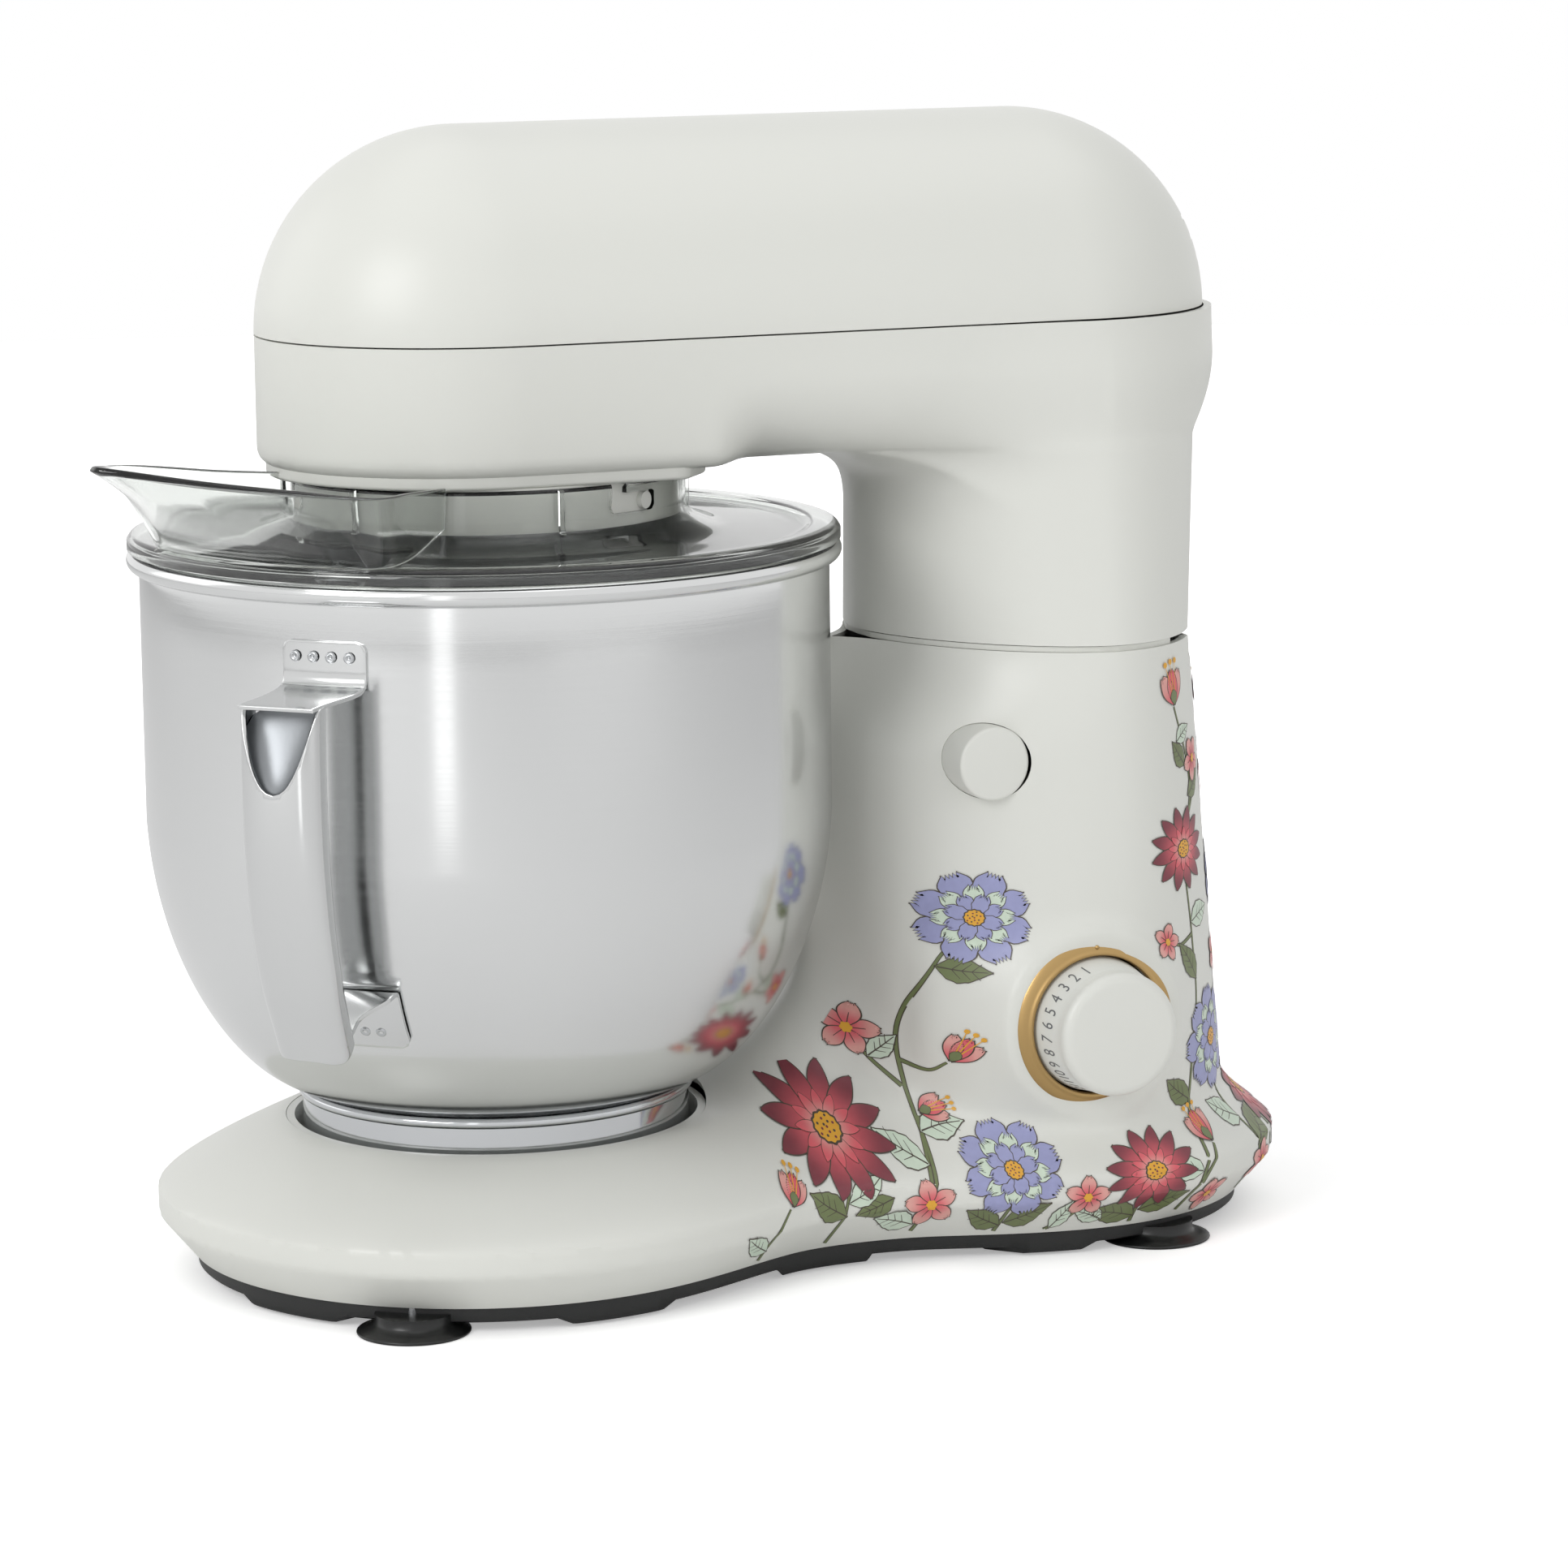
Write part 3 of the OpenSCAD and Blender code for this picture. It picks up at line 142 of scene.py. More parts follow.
# Surface where shape(x, y, z) is nothing: one point in each cell of a grid that the surface crosses,
# at the mean of the crossings on the cell's edges, then moved down the slope onto the surface
def skinOf(shape, low, high, step):
    axes = [np.arange(low[k], high[k] + step, step) for k in range(3)]
    value = shape(*np.meshgrid(*axes, indexing="ij"))
    strides = np.array([value.shape[1] * value.shape[2], value.shape[2], 1])
    cells, points, quads = [], [], []
    for k in range(3):
        first, second = [slice(None)] * 3, [slice(None)] * 3
        first[k], second[k] = slice(0, -1), slice(1, None)
        a, b = value[tuple(first)], value[tuple(second)]
        where = np.argwhere((a < 0) != (b < 0))
        i, j = (k + 1) % 3, (k + 2) % 3
        where = where[(where[:, i] > 0) & (where[:, j] > 0)]
        at = tuple(where.T)
        point = np.stack([axes[m][where[:, m]] for m in range(3)], 1)
        point[:, k] += step * a[at] / (a[at] - b[at])
        node = where @ strides
        around = np.stack([node, node - strides[i], node - strides[i] - strides[j], node - strides[j]], 1)
        quads.append(np.where((a[at] < 0)[:, None], around, around[:, ::-1]))
        cells.append(around.ravel())
        points.append(np.repeat(point, 4, 0))
    used, index = np.unique(np.concatenate(cells), return_inverse=True)
    points = np.concatenate(points)
    count = np.bincount(index)
    points = np.stack([np.bincount(index, points[:, m]) / count for m in range(3)], 1)
    return ontoSurface(shape, points, step * 0.3), np.searchsorted(used, np.concatenate(quads))


# Moves points down the shape's slope, a few short steps, until they lie on its surface
def ontoSurface(shape, points, reach):
    h, rounds = 0.02, 5
    for _ in range(rounds):
        slope = np.stack([(shape(*(points + h * e).T) - shape(*(points - h * e).T)) / (2 * h)
                          for e in np.eye(3)], 1)
        move = -slope * (shape(*points.T) / (np.sum(slope ** 2, 1) + 1e-9))[:, None]
        far = np.linalg.norm(move, axis=1)
        points = points + move * np.minimum(1, reach / (far + 1e-9))[:, None]
    return points


# Cuts a surface where cutter(x, y, z) is below nothing: the nearer end of each crossed edge moves onto
# the cut, and a quad with two such corners opposite each other is split between them
def trimmed(points, faces, cutter):
    value = cutter(*points.T)
    value[np.abs(value) < 1e-9] = 1e-9
    size = len(faces[0])
    a = np.concatenate([faces[:, k] for k in range(size)])
    b = np.concatenate([faces[:, (k + 1) % size] for k in range(size)])
    crossed = (value[a] < 0) != (value[b] < 0)
    a, b = a[crossed], b[crossed]
    t = value[a] / (value[a] - value[b])
    near = np.where(t < 0.5, a, b)
    place = points[a] + (points[b] - points[a]) * t[:, None]
    count = np.bincount(near, minlength=len(points))
    moved = count > 0
    points = points.copy()
    for k in range(3):
        total = np.bincount(near, place[:, k], minlength=len(points))
        points[moved, k] = total[moved] / count[moved]
    value[moved] = 0
    low, high = value[faces].min(1), value[faces].max(1)
    whole = faces[(low >= 0) & (high > 0)]
    split = faces[(low < 0) & (high > 0)]
    extra = []
    for k in range(4):
        three = split[:, [k, (k + 1) % 4, (k + 2) % 4]]
        extra.append(three[(value[three[:, 0]] == 0) & (value[three[:, 1]] > 0) & (value[three[:, 2]] == 0)])
    return points, whole, np.concatenate(extra)


# Trims with several cutters in turn and drops the points that are left over
def cutSkin(points, faces, cutters):
    threes = np.zeros((0, 4), int)
    for cutter in cutters:
        both = np.concatenate([faces, threes])
        points, whole, extra = trimmed(points, both, cutter)
        flat = whole[:, 2] == whole[:, 3]
        faces, threes = whole[~flat], whole[flat]
        threes = np.concatenate([threes, np.concatenate([extra, extra[:, 2:]], 1)])
    shown = [list(f) for f in faces] + [list(dict.fromkeys(f)) for f in threes.tolist()]
    shown = [f for f in shown if len(f) > 2]
    used = np.unique(np.concatenate([np.array(f) for f in shown]))
    order = {old: new for new, old in enumerate(used.tolist())}
    return points[used], [[order[k] for k in f] for f in shown]


# ---- camera
view = {"lens": 127.18, "sensor": 36.0, "pitch": 9.851, "turn": 21.599, "roll": -0.65,
        "place": (-535.455, -1599.016, 441.075), "clip": (0.05, 50)}


def makeCamera():
    data = bpy.data.cameras.new("camera")
    data.lens, data.sensor_width, data.sensor_fit = view["lens"], view["sensor"], "HORIZONTAL"
    data.clip_start, data.clip_end = view["clip"]
    camera = bpy.data.objects.new("camera", data)
    bpy.context.scene.collection.objects.link(camera)
    p, a, r = (math.radians(view[k]) for k in ("pitch", "turn", "roll"))
    forward = np.array([math.sin(a) * math.cos(p), math.cos(a) * math.cos(p), -math.sin(p)])
    right = np.array([math.cos(a), -math.sin(a), 0])
    up = np.cross(right, forward)
    rolled = right * math.cos(r) + up * math.sin(r)
    upright = np.cross(rolled, forward)
    turn = Matrix([[rolled[k], upright[k], -forward[k]] for k in range(3)]).to_4x4()
    turn.translation = toFrame([view["place"]])[0]
    camera.matrix_world = turn
    bpy.context.scene.camera = camera


makeCamera()
print("camera placed")


# ---- materials
def srgb(text):
    c = [int(text[k:k + 2], 16) / 255 for k in (1, 3, 5)]
    return [v / 12.92 if v <= 0.04045 else ((v + 0.055) / 1.055) ** 2.4 for v in c] + [1.0]


class Nodes:  # short names for building one node tree
    def __init__(self, tree):
        self.tree = tree

    def add(self, kind, values=None, **settings):
        node = self.tree.nodes.new(kind)
        for key, value in settings.items():
            setattr(node, key, value)
        for key, value in (values or {}).items():
            if isinstance(value, bpy.types.NodeSocket):
                self.tree.links.new(value, node.inputs[key])
            else:
                node.inputs[key].default_value = value
        return node

    def maths(self, operation, *values):
        return self.add("ShaderNodeMath", dict(enumerate(values)), operation=operation).outputs[0]


# A group that turns a place and some numbers into a height and a roughness
def newGroup(name, numbers):
    tree = bpy.data.node_groups.new(name, "ShaderNodeTree")
    tree.interface.new_socket("Place", in_out="INPUT", socket_type="NodeSocketVector")
    for label, value in numbers.items():
        tree.interface.new_socket(label, in_out="INPUT", socket_type="NodeSocketFloat").default_value = value
    for label in ("Height", "Roughness"):
        tree.interface.new_socket(label, in_out="OUTPUT", socket_type="NodeSocketFloat")
    n = Nodes(tree)
    return n, tree.nodes.new("NodeGroupInput"), tree.nodes.new("NodeGroupOutput")


# Fine unevenness of a moulded or painted surface: a height and a small change of roughness
def surfaceGrain():
    n, given, out = newGroup("surfaceGrain", {"Scale": 900.0, "Roughness": 0.4, "Change": 0.06})
    fine = n.add("ShaderNodeTexNoise", {"Vector": given.outputs["Place"], "Scale": given.outputs["Scale"],
                                        "Detail": 3.0, "Roughness": 0.6})
    broad = n.add("ShaderNodeTexNoise", {"Vector": given.outputs["Place"], "Scale": 14.0, "Detail": 2.0})
    n.tree.links.new(fine.outputs["Fac"], out.inputs["Height"])
    swing = n.maths("MULTIPLY_ADD", n.maths("SUBTRACT", broad.outputs["Fac"], 0.5),
                    given.outputs["Change"], given.outputs["Roughness"])
    n.tree.links.new(swing, out.inputs["Roughness"])
    return n.tree


# Fine lines that run round an upright axis, as a polishing wheel or a lathe leaves them
def turnedLines():
    n, given, out = newGroup("turnedLines", {"Roughness": 0.2, "Change": 0.1, "Fineness": 1800.0})
    stretch = n.add("ShaderNodeMapping", {"Vector": given.outputs["Place"], "Scale": (0.012, 0.012, 1.0)})
    lines = n.add("ShaderNodeTexNoise", {"Vector": stretch.outputs[0], "Scale": given.outputs["Fineness"],
                                         "Detail": 4.0, "Roughness": 0.7})
    cloud = n.add("ShaderNodeTexNoise", {"Vector": given.outputs["Place"], "Scale": 22.0, "Detail": 3.0})
    n.tree.links.new(lines.outputs["Fac"], out.inputs["Height"])
    both = n.maths("ADD", n.maths("SUBTRACT", lines.outputs["Fac"], 0.5),
                   n.maths("SUBTRACT", cloud.outputs["Fac"], 0.5))
    swing = n.maths("MULTIPLY_ADD", both, given.outputs["Change"], given.outputs["Roughness"])
    n.tree.links.new(swing, out.inputs["Roughness"])
    return n.tree


grainGroup, linesGroup = surfaceGrain(), turnedLines()


# A finish: its colour and shader values, and the grain or turned lines that break it up
def finish(name, colour, roughness, metallic=0.0, group=None, scale=900.0, change=0.06, bump=0.02, **shader):
    material = bpy.data.materials.new(name)
    material.use_nodes = True
    n = Nodes(material.node_tree)
    shade = material.node_tree.nodes["Principled BSDF"]
    shade.inputs["Base Color"].default_value = srgb(colour)
    shade.inputs["Metallic"].default_value = metallic
    for key, value in shader.items():
        shade.inputs[key.replace("_", " ")].default_value = value
    place = n.add("ShaderNodeTexCoord").outputs["Object"]
    group = group or grainGroup
    effect = n.add("ShaderNodeGroup", node_tree=group)
    n.tree.links.new(place, effect.inputs["Place"])
    effect.inputs["Roughness"].default_value = roughness
    effect.inputs["Change"].default_value = change
    effect.inputs["Scale" if group is grainGroup else "Fineness"].default_value = scale
    n.tree.links.new(effect.outputs["Roughness"], shade.inputs["Roughness"])
    relief = n.add("ShaderNodeBump", {"Height": effect.outputs["Height"], "Strength": bump, "Distance": 0.0002})
    n.tree.links.new(relief.outputs[0], shade.inputs["Normal"])
    return material


finishes = {
    "shellWhite": finish("shellWhite", "#dedfd9", 0.36, scale=1400.0, bump=0.05),
    "trayBlack": finish("trayBlack", "#171818", 0.5, scale=2200.0, bump=0.25),
    "footRubber": finish("footRubber", "#101111", 0.32, scale=600.0, bump=0.1),
    "bowlSteel": finish("bowlSteel", "#d6d7d7", 0.16, 1.0, linesGroup, change=0.12, bump=0.05),
    "footSteel": finish("footSteel", "#c4c6c8", 0.1, 1.0, linesGroup, change=0.05, bump=0.02),
    "gripSteel": finish("gripSteel", "#cfd0d0", 0.13, 1.0, change=0.08, scale=300.0, bump=0.05),
    "screwSteel": finish("screwSteel", "#b9bbbd", 0.25, 1.0, linesGroup, bump=0.1),
    # bracket steel, also put on the floor of the grip's opening, where its darker colour is painted shade
    "bracketSteelAndScoopShade": finish("bracketSteelAndScoopShade", "#8b8e91", 0.38, 1.0, scale=500.0, bump=0.15),
    "castAlloy": finish("castAlloy", "#b9bbbd", 0.42, 1.0, scale=700.0, bump=0.4),
    "bearingSteel": finish("bearingSteel", "#cfd1d3", 0.16, 1.0, linesGroup, bump=0.05),
    "rotorSteel": finish("rotorSteel", "#8a6a4e", 0.45, 1.0, linesGroup, bump=0.5),
    "bezelGold": finish("bezelGold", "#b39564", 0.34, 1.0, scale=1600.0, change=0.1, bump=0.05),
    "innerPlastic": finish("innerPlastic", "#c3c4bf", 0.5, scale=1100.0, bump=0.1),
    "carbon": finish("carbon", "#232323", 0.6, scale=900.0, bump=0.3),
    "beltRubber": finish("beltRubber", "#1c1d1d", 0.6, scale=500.0, bump=0.3),
    "dialInk": finish("dialInk", "#6d7073", 0.5, scale=1100.0),
    "guardClear": finish("guardClear", "#e2e4e2", 0.04, scale=120.0, change=0.03, bump=0.01,
                         Transmission_Weight=1.0, IOR=1.46),
}


# ---- base
base = {"bottomZ": 8.0, "creaseZ": 20.0, "shoulderZ": 27.0, "wellZ": 47.8, "wellR": 65.4, "lobeX": -4.0,
        "lobeR": 101.5, "rearX": 175.0, "rearR": 82.0, "waist": 68.0, "columnFront": 122.0, "columnMid": 180.0,
        "columnRear": 227.0, "columnW": 72.0, "topZ": 188.8, "knob": (171.3, 73.2), "knobHoleR": 21.8, "bossR": 29.0,
        "button": (141.0, 155.8), "buttonR": 11.5, "buttonGap": 0.25, "glandZ": 21.0, "glandR": 6.1, "step": 2.0}
hinge = {"x": 214.0, "z": 194.0, "wallX": 215.2, "reach": 15.0, "liningHalf": 66.0, "liningSheet": 1.0}


# Superellipse of exponent e about (middle, 0), reaching front and rear along x and half the width along y
def egg(x, y, front, middle, rear, width, e, eRear):
    ahead = x < middle
    reach = np.where(ahead, middle - front, rear - middle)
    power = np.where(ahead, e, eRear)
    ratio = (np.abs((x - middle) / reach) ** power + np.abs(y / width) ** power + 1e-12) ** (1 / power)
    return (ratio - 1) * np.minimum(reach, width)


# Outline of two discs and a bridge drawn in by an amount that changes with height, a column of egg
# sections, a ramp from the column to the well, and a low cone under the dial, all softly joined
def baseShape(x, y, z):
    b = base
    rise = unit((z - b["shoulderZ"]) / (b["wellZ"] - b["shoulderZ"]))
    over = np.maximum(z - b["shoulderZ"], 0) / (b["wellZ"] - b["shoulderZ"])
    inset = np.where(z < b["creaseZ"], 10 * (b["creaseZ"] - z) / 12, (b["lobeR"] - b["wellR"] - 1.2) * over ** 1.25)
    front = np.hypot(x - b["lobeX"] * (1 - rise), y) - b["lobeR"]
    rear = np.hypot(x - b["rearX"], y) - b["rearR"]
    bridge = np.hypot(x - np.clip(x, b["lobeX"], b["rearX"]), y) - b["waist"]
    slab = softMin(softMin(front, rear, 40), bridge, 30) + inset
    slab = softMax(slab, z - b["wellZ"], 1.5)
    drop = unit((mixer["seamZ"] - z) / (mixer["seamZ"] - b["wellZ"]))
    fill = ease((mixer["seamZ"] - z) / 36)
    column = egg(x, y, b["columnFront"] - 12.5 * fill, b["columnMid"], b["columnRear"] + 13 * drop,
                 b["columnW"] + 2 * drop, mix(1.65, 2.1, fill), 2.0)
    lift = np.maximum(z - b["wellZ"], 0)
    half = mix(30, 8, unit(lift / 34)) * unit(1 - (lift - 34) / 24) + 0.5
    nose = np.maximum(b["wellR"] + 1 + 1.25 * lift + 22 - x, 0)
    ramp = (np.hypot(nose / 22, y / half) - 1) * np.minimum(half, 22)
    column = softMin(column, np.maximum(ramp, x - b["columnMid"]), 24)
    column = softMax(column, 34 - z, 8)
    body = softMin(slab, column, 18)
    depth = y + 74
    out = np.hypot(x - b["knob"][0], z - b["knob"][1])
    cone = softMax(out - (b["bossR"] + np.maximum(depth, 0) * 0.75), -depth, 1.5)
    cone = softMax(cone, y + 46, 10)
    return softMin(body, cone, 6)


# A round hole of radius r about the point (a0, b0), cut only where the mask says so
def hole(where, a, b, middle, r):
    return np.where(where, np.hypot(a - middle[0], b - middle[1]) - r, 9.0)


def makeBase():
    b, h = base, hinge
    points, faces = skinOf(baseShape, (-108, -106, 2), (262, 106, 196), b["step"])
    cutters = [
        lambda x, y, z: z - b["bottomZ"],
        lambda x, y, z: b["topZ"] - z,
        lambda x, y, z: hole(z > 40, x, y, (0, 0), b["wellR"]),
        lambda x, y, z: hole(y < -60, x, z, b["knob"], b["knobHoleR"]),
        lambda x, y, z: hole(y < 0, x, z, b["button"], b["buttonR"] + b["buttonGap"]),
        lambda x, y, z: hole(x > 240, y, z, (0, b["glandZ"]), b["glandR"]),
        lambda x, y, z: hole(x > h["wallX"], x, z, (h["x"], h["z"]), h["reach"]),
    ]
    addPiece("baseShell", cutSkin(points, faces, cutters), "base", "shell_white", "shellWhite", "base_housing",
             weld=0.0001, modifiers=[thickened(mixer["shell"], use_even_offset=False)])


# Lining of the hollow behind the hinge: a wall, then an arc round the hinge to the rear of the shell
def makeLining():
    h = hinge
    wallX, topZ = h["wallX"] + 0.1, base["topZ"] - 0.2
    line = np.concatenate([[[wallX, topZ - 0.2], [wallX, 184]],
                           arc((h["x"], h["z"]), h["reach"] + 0.1, -85, -15, 24)])
    y = np.linspace(-h["liningHalf"], h["liningHalf"], 67)
    points = np.stack([line[:, :1] + 0 * y, y + 0 * line[:, :1], line[:, 1:] + 0 * y], 2).reshape(-1, 3)
    cutters = [lambda x, y, z: -0.8 - baseShape(x, y, z), lambda x, y, z: topZ - z]
    addPiece("hingeLining", cutSkin(points, gridFaces(len(line), len(y)), cutters), "base", "shell_white",
             "shellWhite", modifiers=[thickened(h["liningSheet"])])


makeBase()
makeLining()
print("base shell made")


# ---- lower head
head = {"r": 62.0, "noseX": -7.0, "tailX": 174.5, "noseEdge": 5.0, "bellyEdge": 26.0, "padZ": 248.0,
        "hubR": 56.9, "hubTop": 262.0, "padR": 59.4, "padRear": 56.0, "padCrop": 92.0, "neckW": 72.0,
        "neckEnd": 52.0, "step": 2.0}


# Inset of a quarter-round edge of radius r at a height above the underside
def edgeInset(z, r):
    h = unit((z - mixer["bellyZ"]) / r)
    return r - r * np.sqrt(np.maximum(1 - (1 - h) ** 2, 1e-6))


# A capsule outline with a small edge under its nose and a large one behind, softly joined to a neck
# of egg sections
def headShape(x, y, z):
    h = head
    inset = mix(edgeInset(z, h["noseEdge"]), edgeInset(z, h["bellyEdge"]), ease((x - h["neckEnd"]) / 20))
    body = np.hypot(x - np.clip(x, h["noseX"], h["tailX"]), y) - h["r"] + inset
    body = softMax(body, mixer["bellyZ"] - z, 1.2)
    climb = unit((z - mixer["bellyZ"] + 14) / 14)
    up = unit((z - mixer["seamZ"]) / 60)
    width = h["neckW"] - 6 * up - 16 * unit((z - mixer["bellyZ"]) / 39)
    neck = egg(x, y, base["columnFront"] - 14 * climb ** 3, base["columnMid"], base["columnRear"] + 4 * up,
               width, 1.65, 2.0)
    return softMin(body, neck, 22)


def makeHead():
    h = head
    points, faces = skinOf(headShape, (-76, -80, 184), (244, 80, 297), h["step"])
    cutters = [
        lambda x, y, z: mixer["coverZ"] - z,
        lambda x, y, z: z - mixer["seamZ"],
        lambda x, y, z: hole(z < h["hubTop"], x, y, (0, 0), h["hubR"] - 1),
    ]
    addPiece("headShell", cutSkin(points, faces, cutters), "head", "shell_white", "shellWhite", "head_lower",
             weld=0.0001, modifiers=[thickened(mixer["shell"])])
    makePad()


# Pad under the nose: a round front, straight flanks and a cropped rear, with the hub's opening in it
def makePad():
    h, n = head, 240
    a = np.linspace(0, 2 * math.pi, n, endpoint=False)
    low, high = np.full(n, 30.0), np.full(n, 90.0)
    for _ in range(30):
        r = (low + high) / 2
        x, y = r * np.cos(a), r * np.sin(a)
        out = np.hypot(np.minimum(x - h["noseX"], 0), y) - h["padR"]
        out = softMax(softMax(out, x - h["padRear"], 3), (x + np.abs(y) * 0.8) - h["padCrop"], 2)
        low, high = np.where(out < 0, r, low), np.where(out < 0, high, r)
    rings = [(low, mixer["bellyZ"] + 1.4), (low, h["padZ"] + 1.0), (low - 0.25, h["padZ"] + 0.4),
             (low - 0.9, h["padZ"]), (h["hubR"] + 0.3, h["padZ"]), (h["hubR"], h["padZ"] + 0.3),
             (h["hubR"], h["hubTop"])]
    points = np.concatenate([np.stack([r * np.cos(a), r * np.sin(a), z + 0 * a], 1) for r, z in rings])
    addPiece("nosePad", (points, gridFaces(len(rings), n, closeCols=True)), "head", "shell_white", "shellWhite")


makeHead()
print("lower head made")


# ---- cover
cover = {"rimZ": 290.5, "slits": 4, "slitZ": 298.8, "pitch": 6.2, "slitH": 2.0, "slitHalf": 27.0}


# Upper half of a capsule: arc t runs over the back from the near rim to the far one,
# and length s runs from the nose pole along the body to the tail pole
def makeCover():
    r = head["r"]
    nose = np.linspace(0, math.pi / 2, 40)
    s = np.concatenate([np.stack([head["noseX"] - r * np.cos(nose), r * np.sin(nose)], 1),
                        np.stack([np.linspace(head["noseX"], head["tailX"], 46)[1:-1], np.full(44, r)], 1),
                        np.stack([head["tailX"] + r * np.sin(nose), r * np.cos(nose)], 1)])
    t = np.linspace(0, math.pi, 97)
    x = np.repeat(s[:, 0][:, None], len(t), 1)
    y = -s[:, 1][:, None] * np.cos(t)[None]
    z = cover["rimZ"] + s[:, 1][:, None] * np.sin(t)[None]
    points = np.stack([x, y, z], 2).reshape(-1, 3)
    cutters = [slitCutter(cover["slitZ"] + cover["pitch"] * k) for k in range(cover["slits"])]
    cuts = [("BOOLEAN", {"operation": "DIFFERENCE", "object": c, "solver": "EXACT"}) for c in cutters]
    addPiece("headCover", (points, gridFaces(len(s), len(t))[:, ::-1]), "head", "shell_white", "shellWhite",
             "head_cover", modifiers=[thickened(mixer["shell"]), *cuts])
    for c in cutters:
        bpy.data.objects.remove(c)


# A flat bar with round ends, to cut one slit
def slitCutter(z):
    n = 32
    a = np.linspace(0, 2 * math.pi, n, endpoint=False)
    y = cover["slitHalf"] * np.sign(np.cos(a)) + np.cos(a) * cover["slitH"] / 2
    ring = np.stack([np.zeros(n), y, z + np.sin(a) * cover["slitH"] / 2], 1)
    points = np.concatenate([ring + [head["tailX"] + 25, 0, 0], ring + [head["tailX"] + 90, 0, 0]])
    faces = gridFaces(2, n, closeCols=True).tolist() + [list(range(n))[::-1], list(range(n, 2 * n))]
    mesh = bpy.data.meshes.new("slit")
    mesh.from_pydata(toFrame(points).tolist(), [], faces)
    made = bpy.data.objects.new("slit", mesh)
    bpy.context.scene.collection.objects.link(made)
    b = bmeshOf(made)
    bmeshOps.recalc_face_normals(b, faces=b.faces)
    b.to_mesh(mesh)
    b.free()
    made.hide_render = True
    return made


makeCover()
print("cover made")


# A profile of (radius, height) points carried round the bowl's axis
def turned(profile, steps=160, start=0.0, end=360.0, closed=True):
    a = np.radians(np.linspace(start, end, steps, endpoint=not closed))
    profile = np.asarray(profile, float)
    x = profile[:, 0][None] * np.cos(a)[:, None]
    y = profile[:, 0][None] * np.sin(a)[:, None]
    z = np.repeat(profile[:, 1][None], len(a), 0)
    return np.stack([x, y, z], 2).reshape(-1, 3), gridFaces(len(a), len(profile), closeRows=closed)


# ---- bowl
bowl = {"r": 105.5, "sheet": 1.2, "rimZ": 222.45, "roll": 3.05, "turnZ": 142.0, "lowZ": 60.0, "footR": 60.0,
        "footZ": 30.0, "tabZ": (30.6, 34.4), "tabTurn": 16}


# Wall of the bowl: radius against a quarter turn t, steep at first and then upright, height by the cosine
def bowlWall(t):
    a = t * math.pi / 2
    r = mix(bowl["footR"] + 2.5, bowl["r"], np.sin(a) ** 1.3 * 0.86 + 0.14 * t)
    return np.stack([r, mix(bowl["lowZ"], bowl["turnZ"], 1 - np.cos(a))], 1)


def makeBowl():
    b = bowl
    outer = np.concatenate([[[0, b["lowZ"] - 2], [30, b["lowZ"] - 2], [58, b["lowZ"] - 2], [60.5, b["lowZ"] - 1.6]],
                            bowlWall(np.linspace(0, 1, 40)), [[b["r"], 170], [b["r"], 200], [b["r"], 217]]])
    roll = arc((b["r"] + 0.75, b["rimZ"]), b["roll"], -112, 195, 28)
    inner = outer[::-1] - [[b["sheet"], 0]]
    inner[:, 1] += np.where(inner[:, 1] < 100, b["sheet"], 0)
    inner[:, 0] = np.maximum(inner[:, 0], 0)
    inner[-1, 0] = 0
    addPiece("bowlShell", turned(np.concatenate([outer, roll, inner]), 192), "bowl", "bowl_steel", "bowlSteel",
             "bowl", sharp=50)


# The bowl's foot: a ring with a rolled bead above it, and three tabs that lock in the well
def makeFoot():
    b = bowl
    ring = np.concatenate([[[b["footR"] - 1.2, b["footZ"]], [b["footR"], b["footZ"]], [b["footR"], 50]],
                           arc((b["footR"] - 0.4, b["lowZ"] - 3.7), 1.7, -80, 80, 12),
                           [[b["footR"] - 1.2, b["lowZ"] - 2]]])
    parts = [turned(np.concatenate([ring, ring[:1]]), 144)]
    near, far = b["footR"] - 0.4, b["footR"] + 2.2
    low, high = b["tabZ"]
    tab = [[near, low], [far, low], [far, high], [near, high], [near, low]]
    for direction in (0, 120, 240):
        p, f = turned(tab, 10, direction, direction + b["tabTurn"], closed=False)
        last = len(p) - 5
        parts.append((p, f.tolist() + [[3, 2, 1, 0], [last, last + 1, last + 2, last + 3]]))
    addPiece("bowlFoot", joined(parts), "bowl", "bowl_steel", "footSteel", "bowl_foot")


# Several (points, faces) as one
def joined(parts):
    points, faces, count = [], [], 0
    for p, f in parts:
        points.append(p)
        faces += [[k + count for k in q] for q in f]
        count += len(p)
    return np.concatenate(points), faces


makeBowl()
makeFoot()
print("bowl made")


# Smooth line through points, by cubic steps between each pair
def curve(points, steps=8):
    p = np.asarray(points, float)
    p = np.concatenate([[2 * p[0] - p[1]], p, [2 * p[-1] - p[-2]]])
    t = np.linspace(0, 1, steps, endpoint=False)[:, None]
    parts = [0.5 * (2 * p[k] + (p[k + 1] - p[k - 1]) * t
                    + (2 * p[k - 1] - 5 * p[k] + 4 * p[k + 1] - p[k + 2]) * t ** 2
                    + (3 * p[k] - p[k - 1] - 3 * p[k + 1] + p[k + 2]) * t ** 3) for k in range(1, len(p) - 2)]
    return np.concatenate(parts + [p[-2:-1]])


# ---- splash guard: collar, groove, shallow disc and a raised flange on the bowl's rim
guard = {"collarR": 61.7, "topZ": 247.6, "sheet": 1.9, "flangeR": 109.0, "flangeZ": 225.9,
         "opening": (-176.0, -128.0), "openingR": (67.0, 98.5), "lugs": (-56.0, 64.0, 184.0),
         "slots": ((-14.8, 3.2, 238.6, 244.7), (-14.4, -9.0, 241.0, 262.0)), "slotFrom": 236.0,
         "ribTurns": (-31, 29), "ribHalf": 0.8}


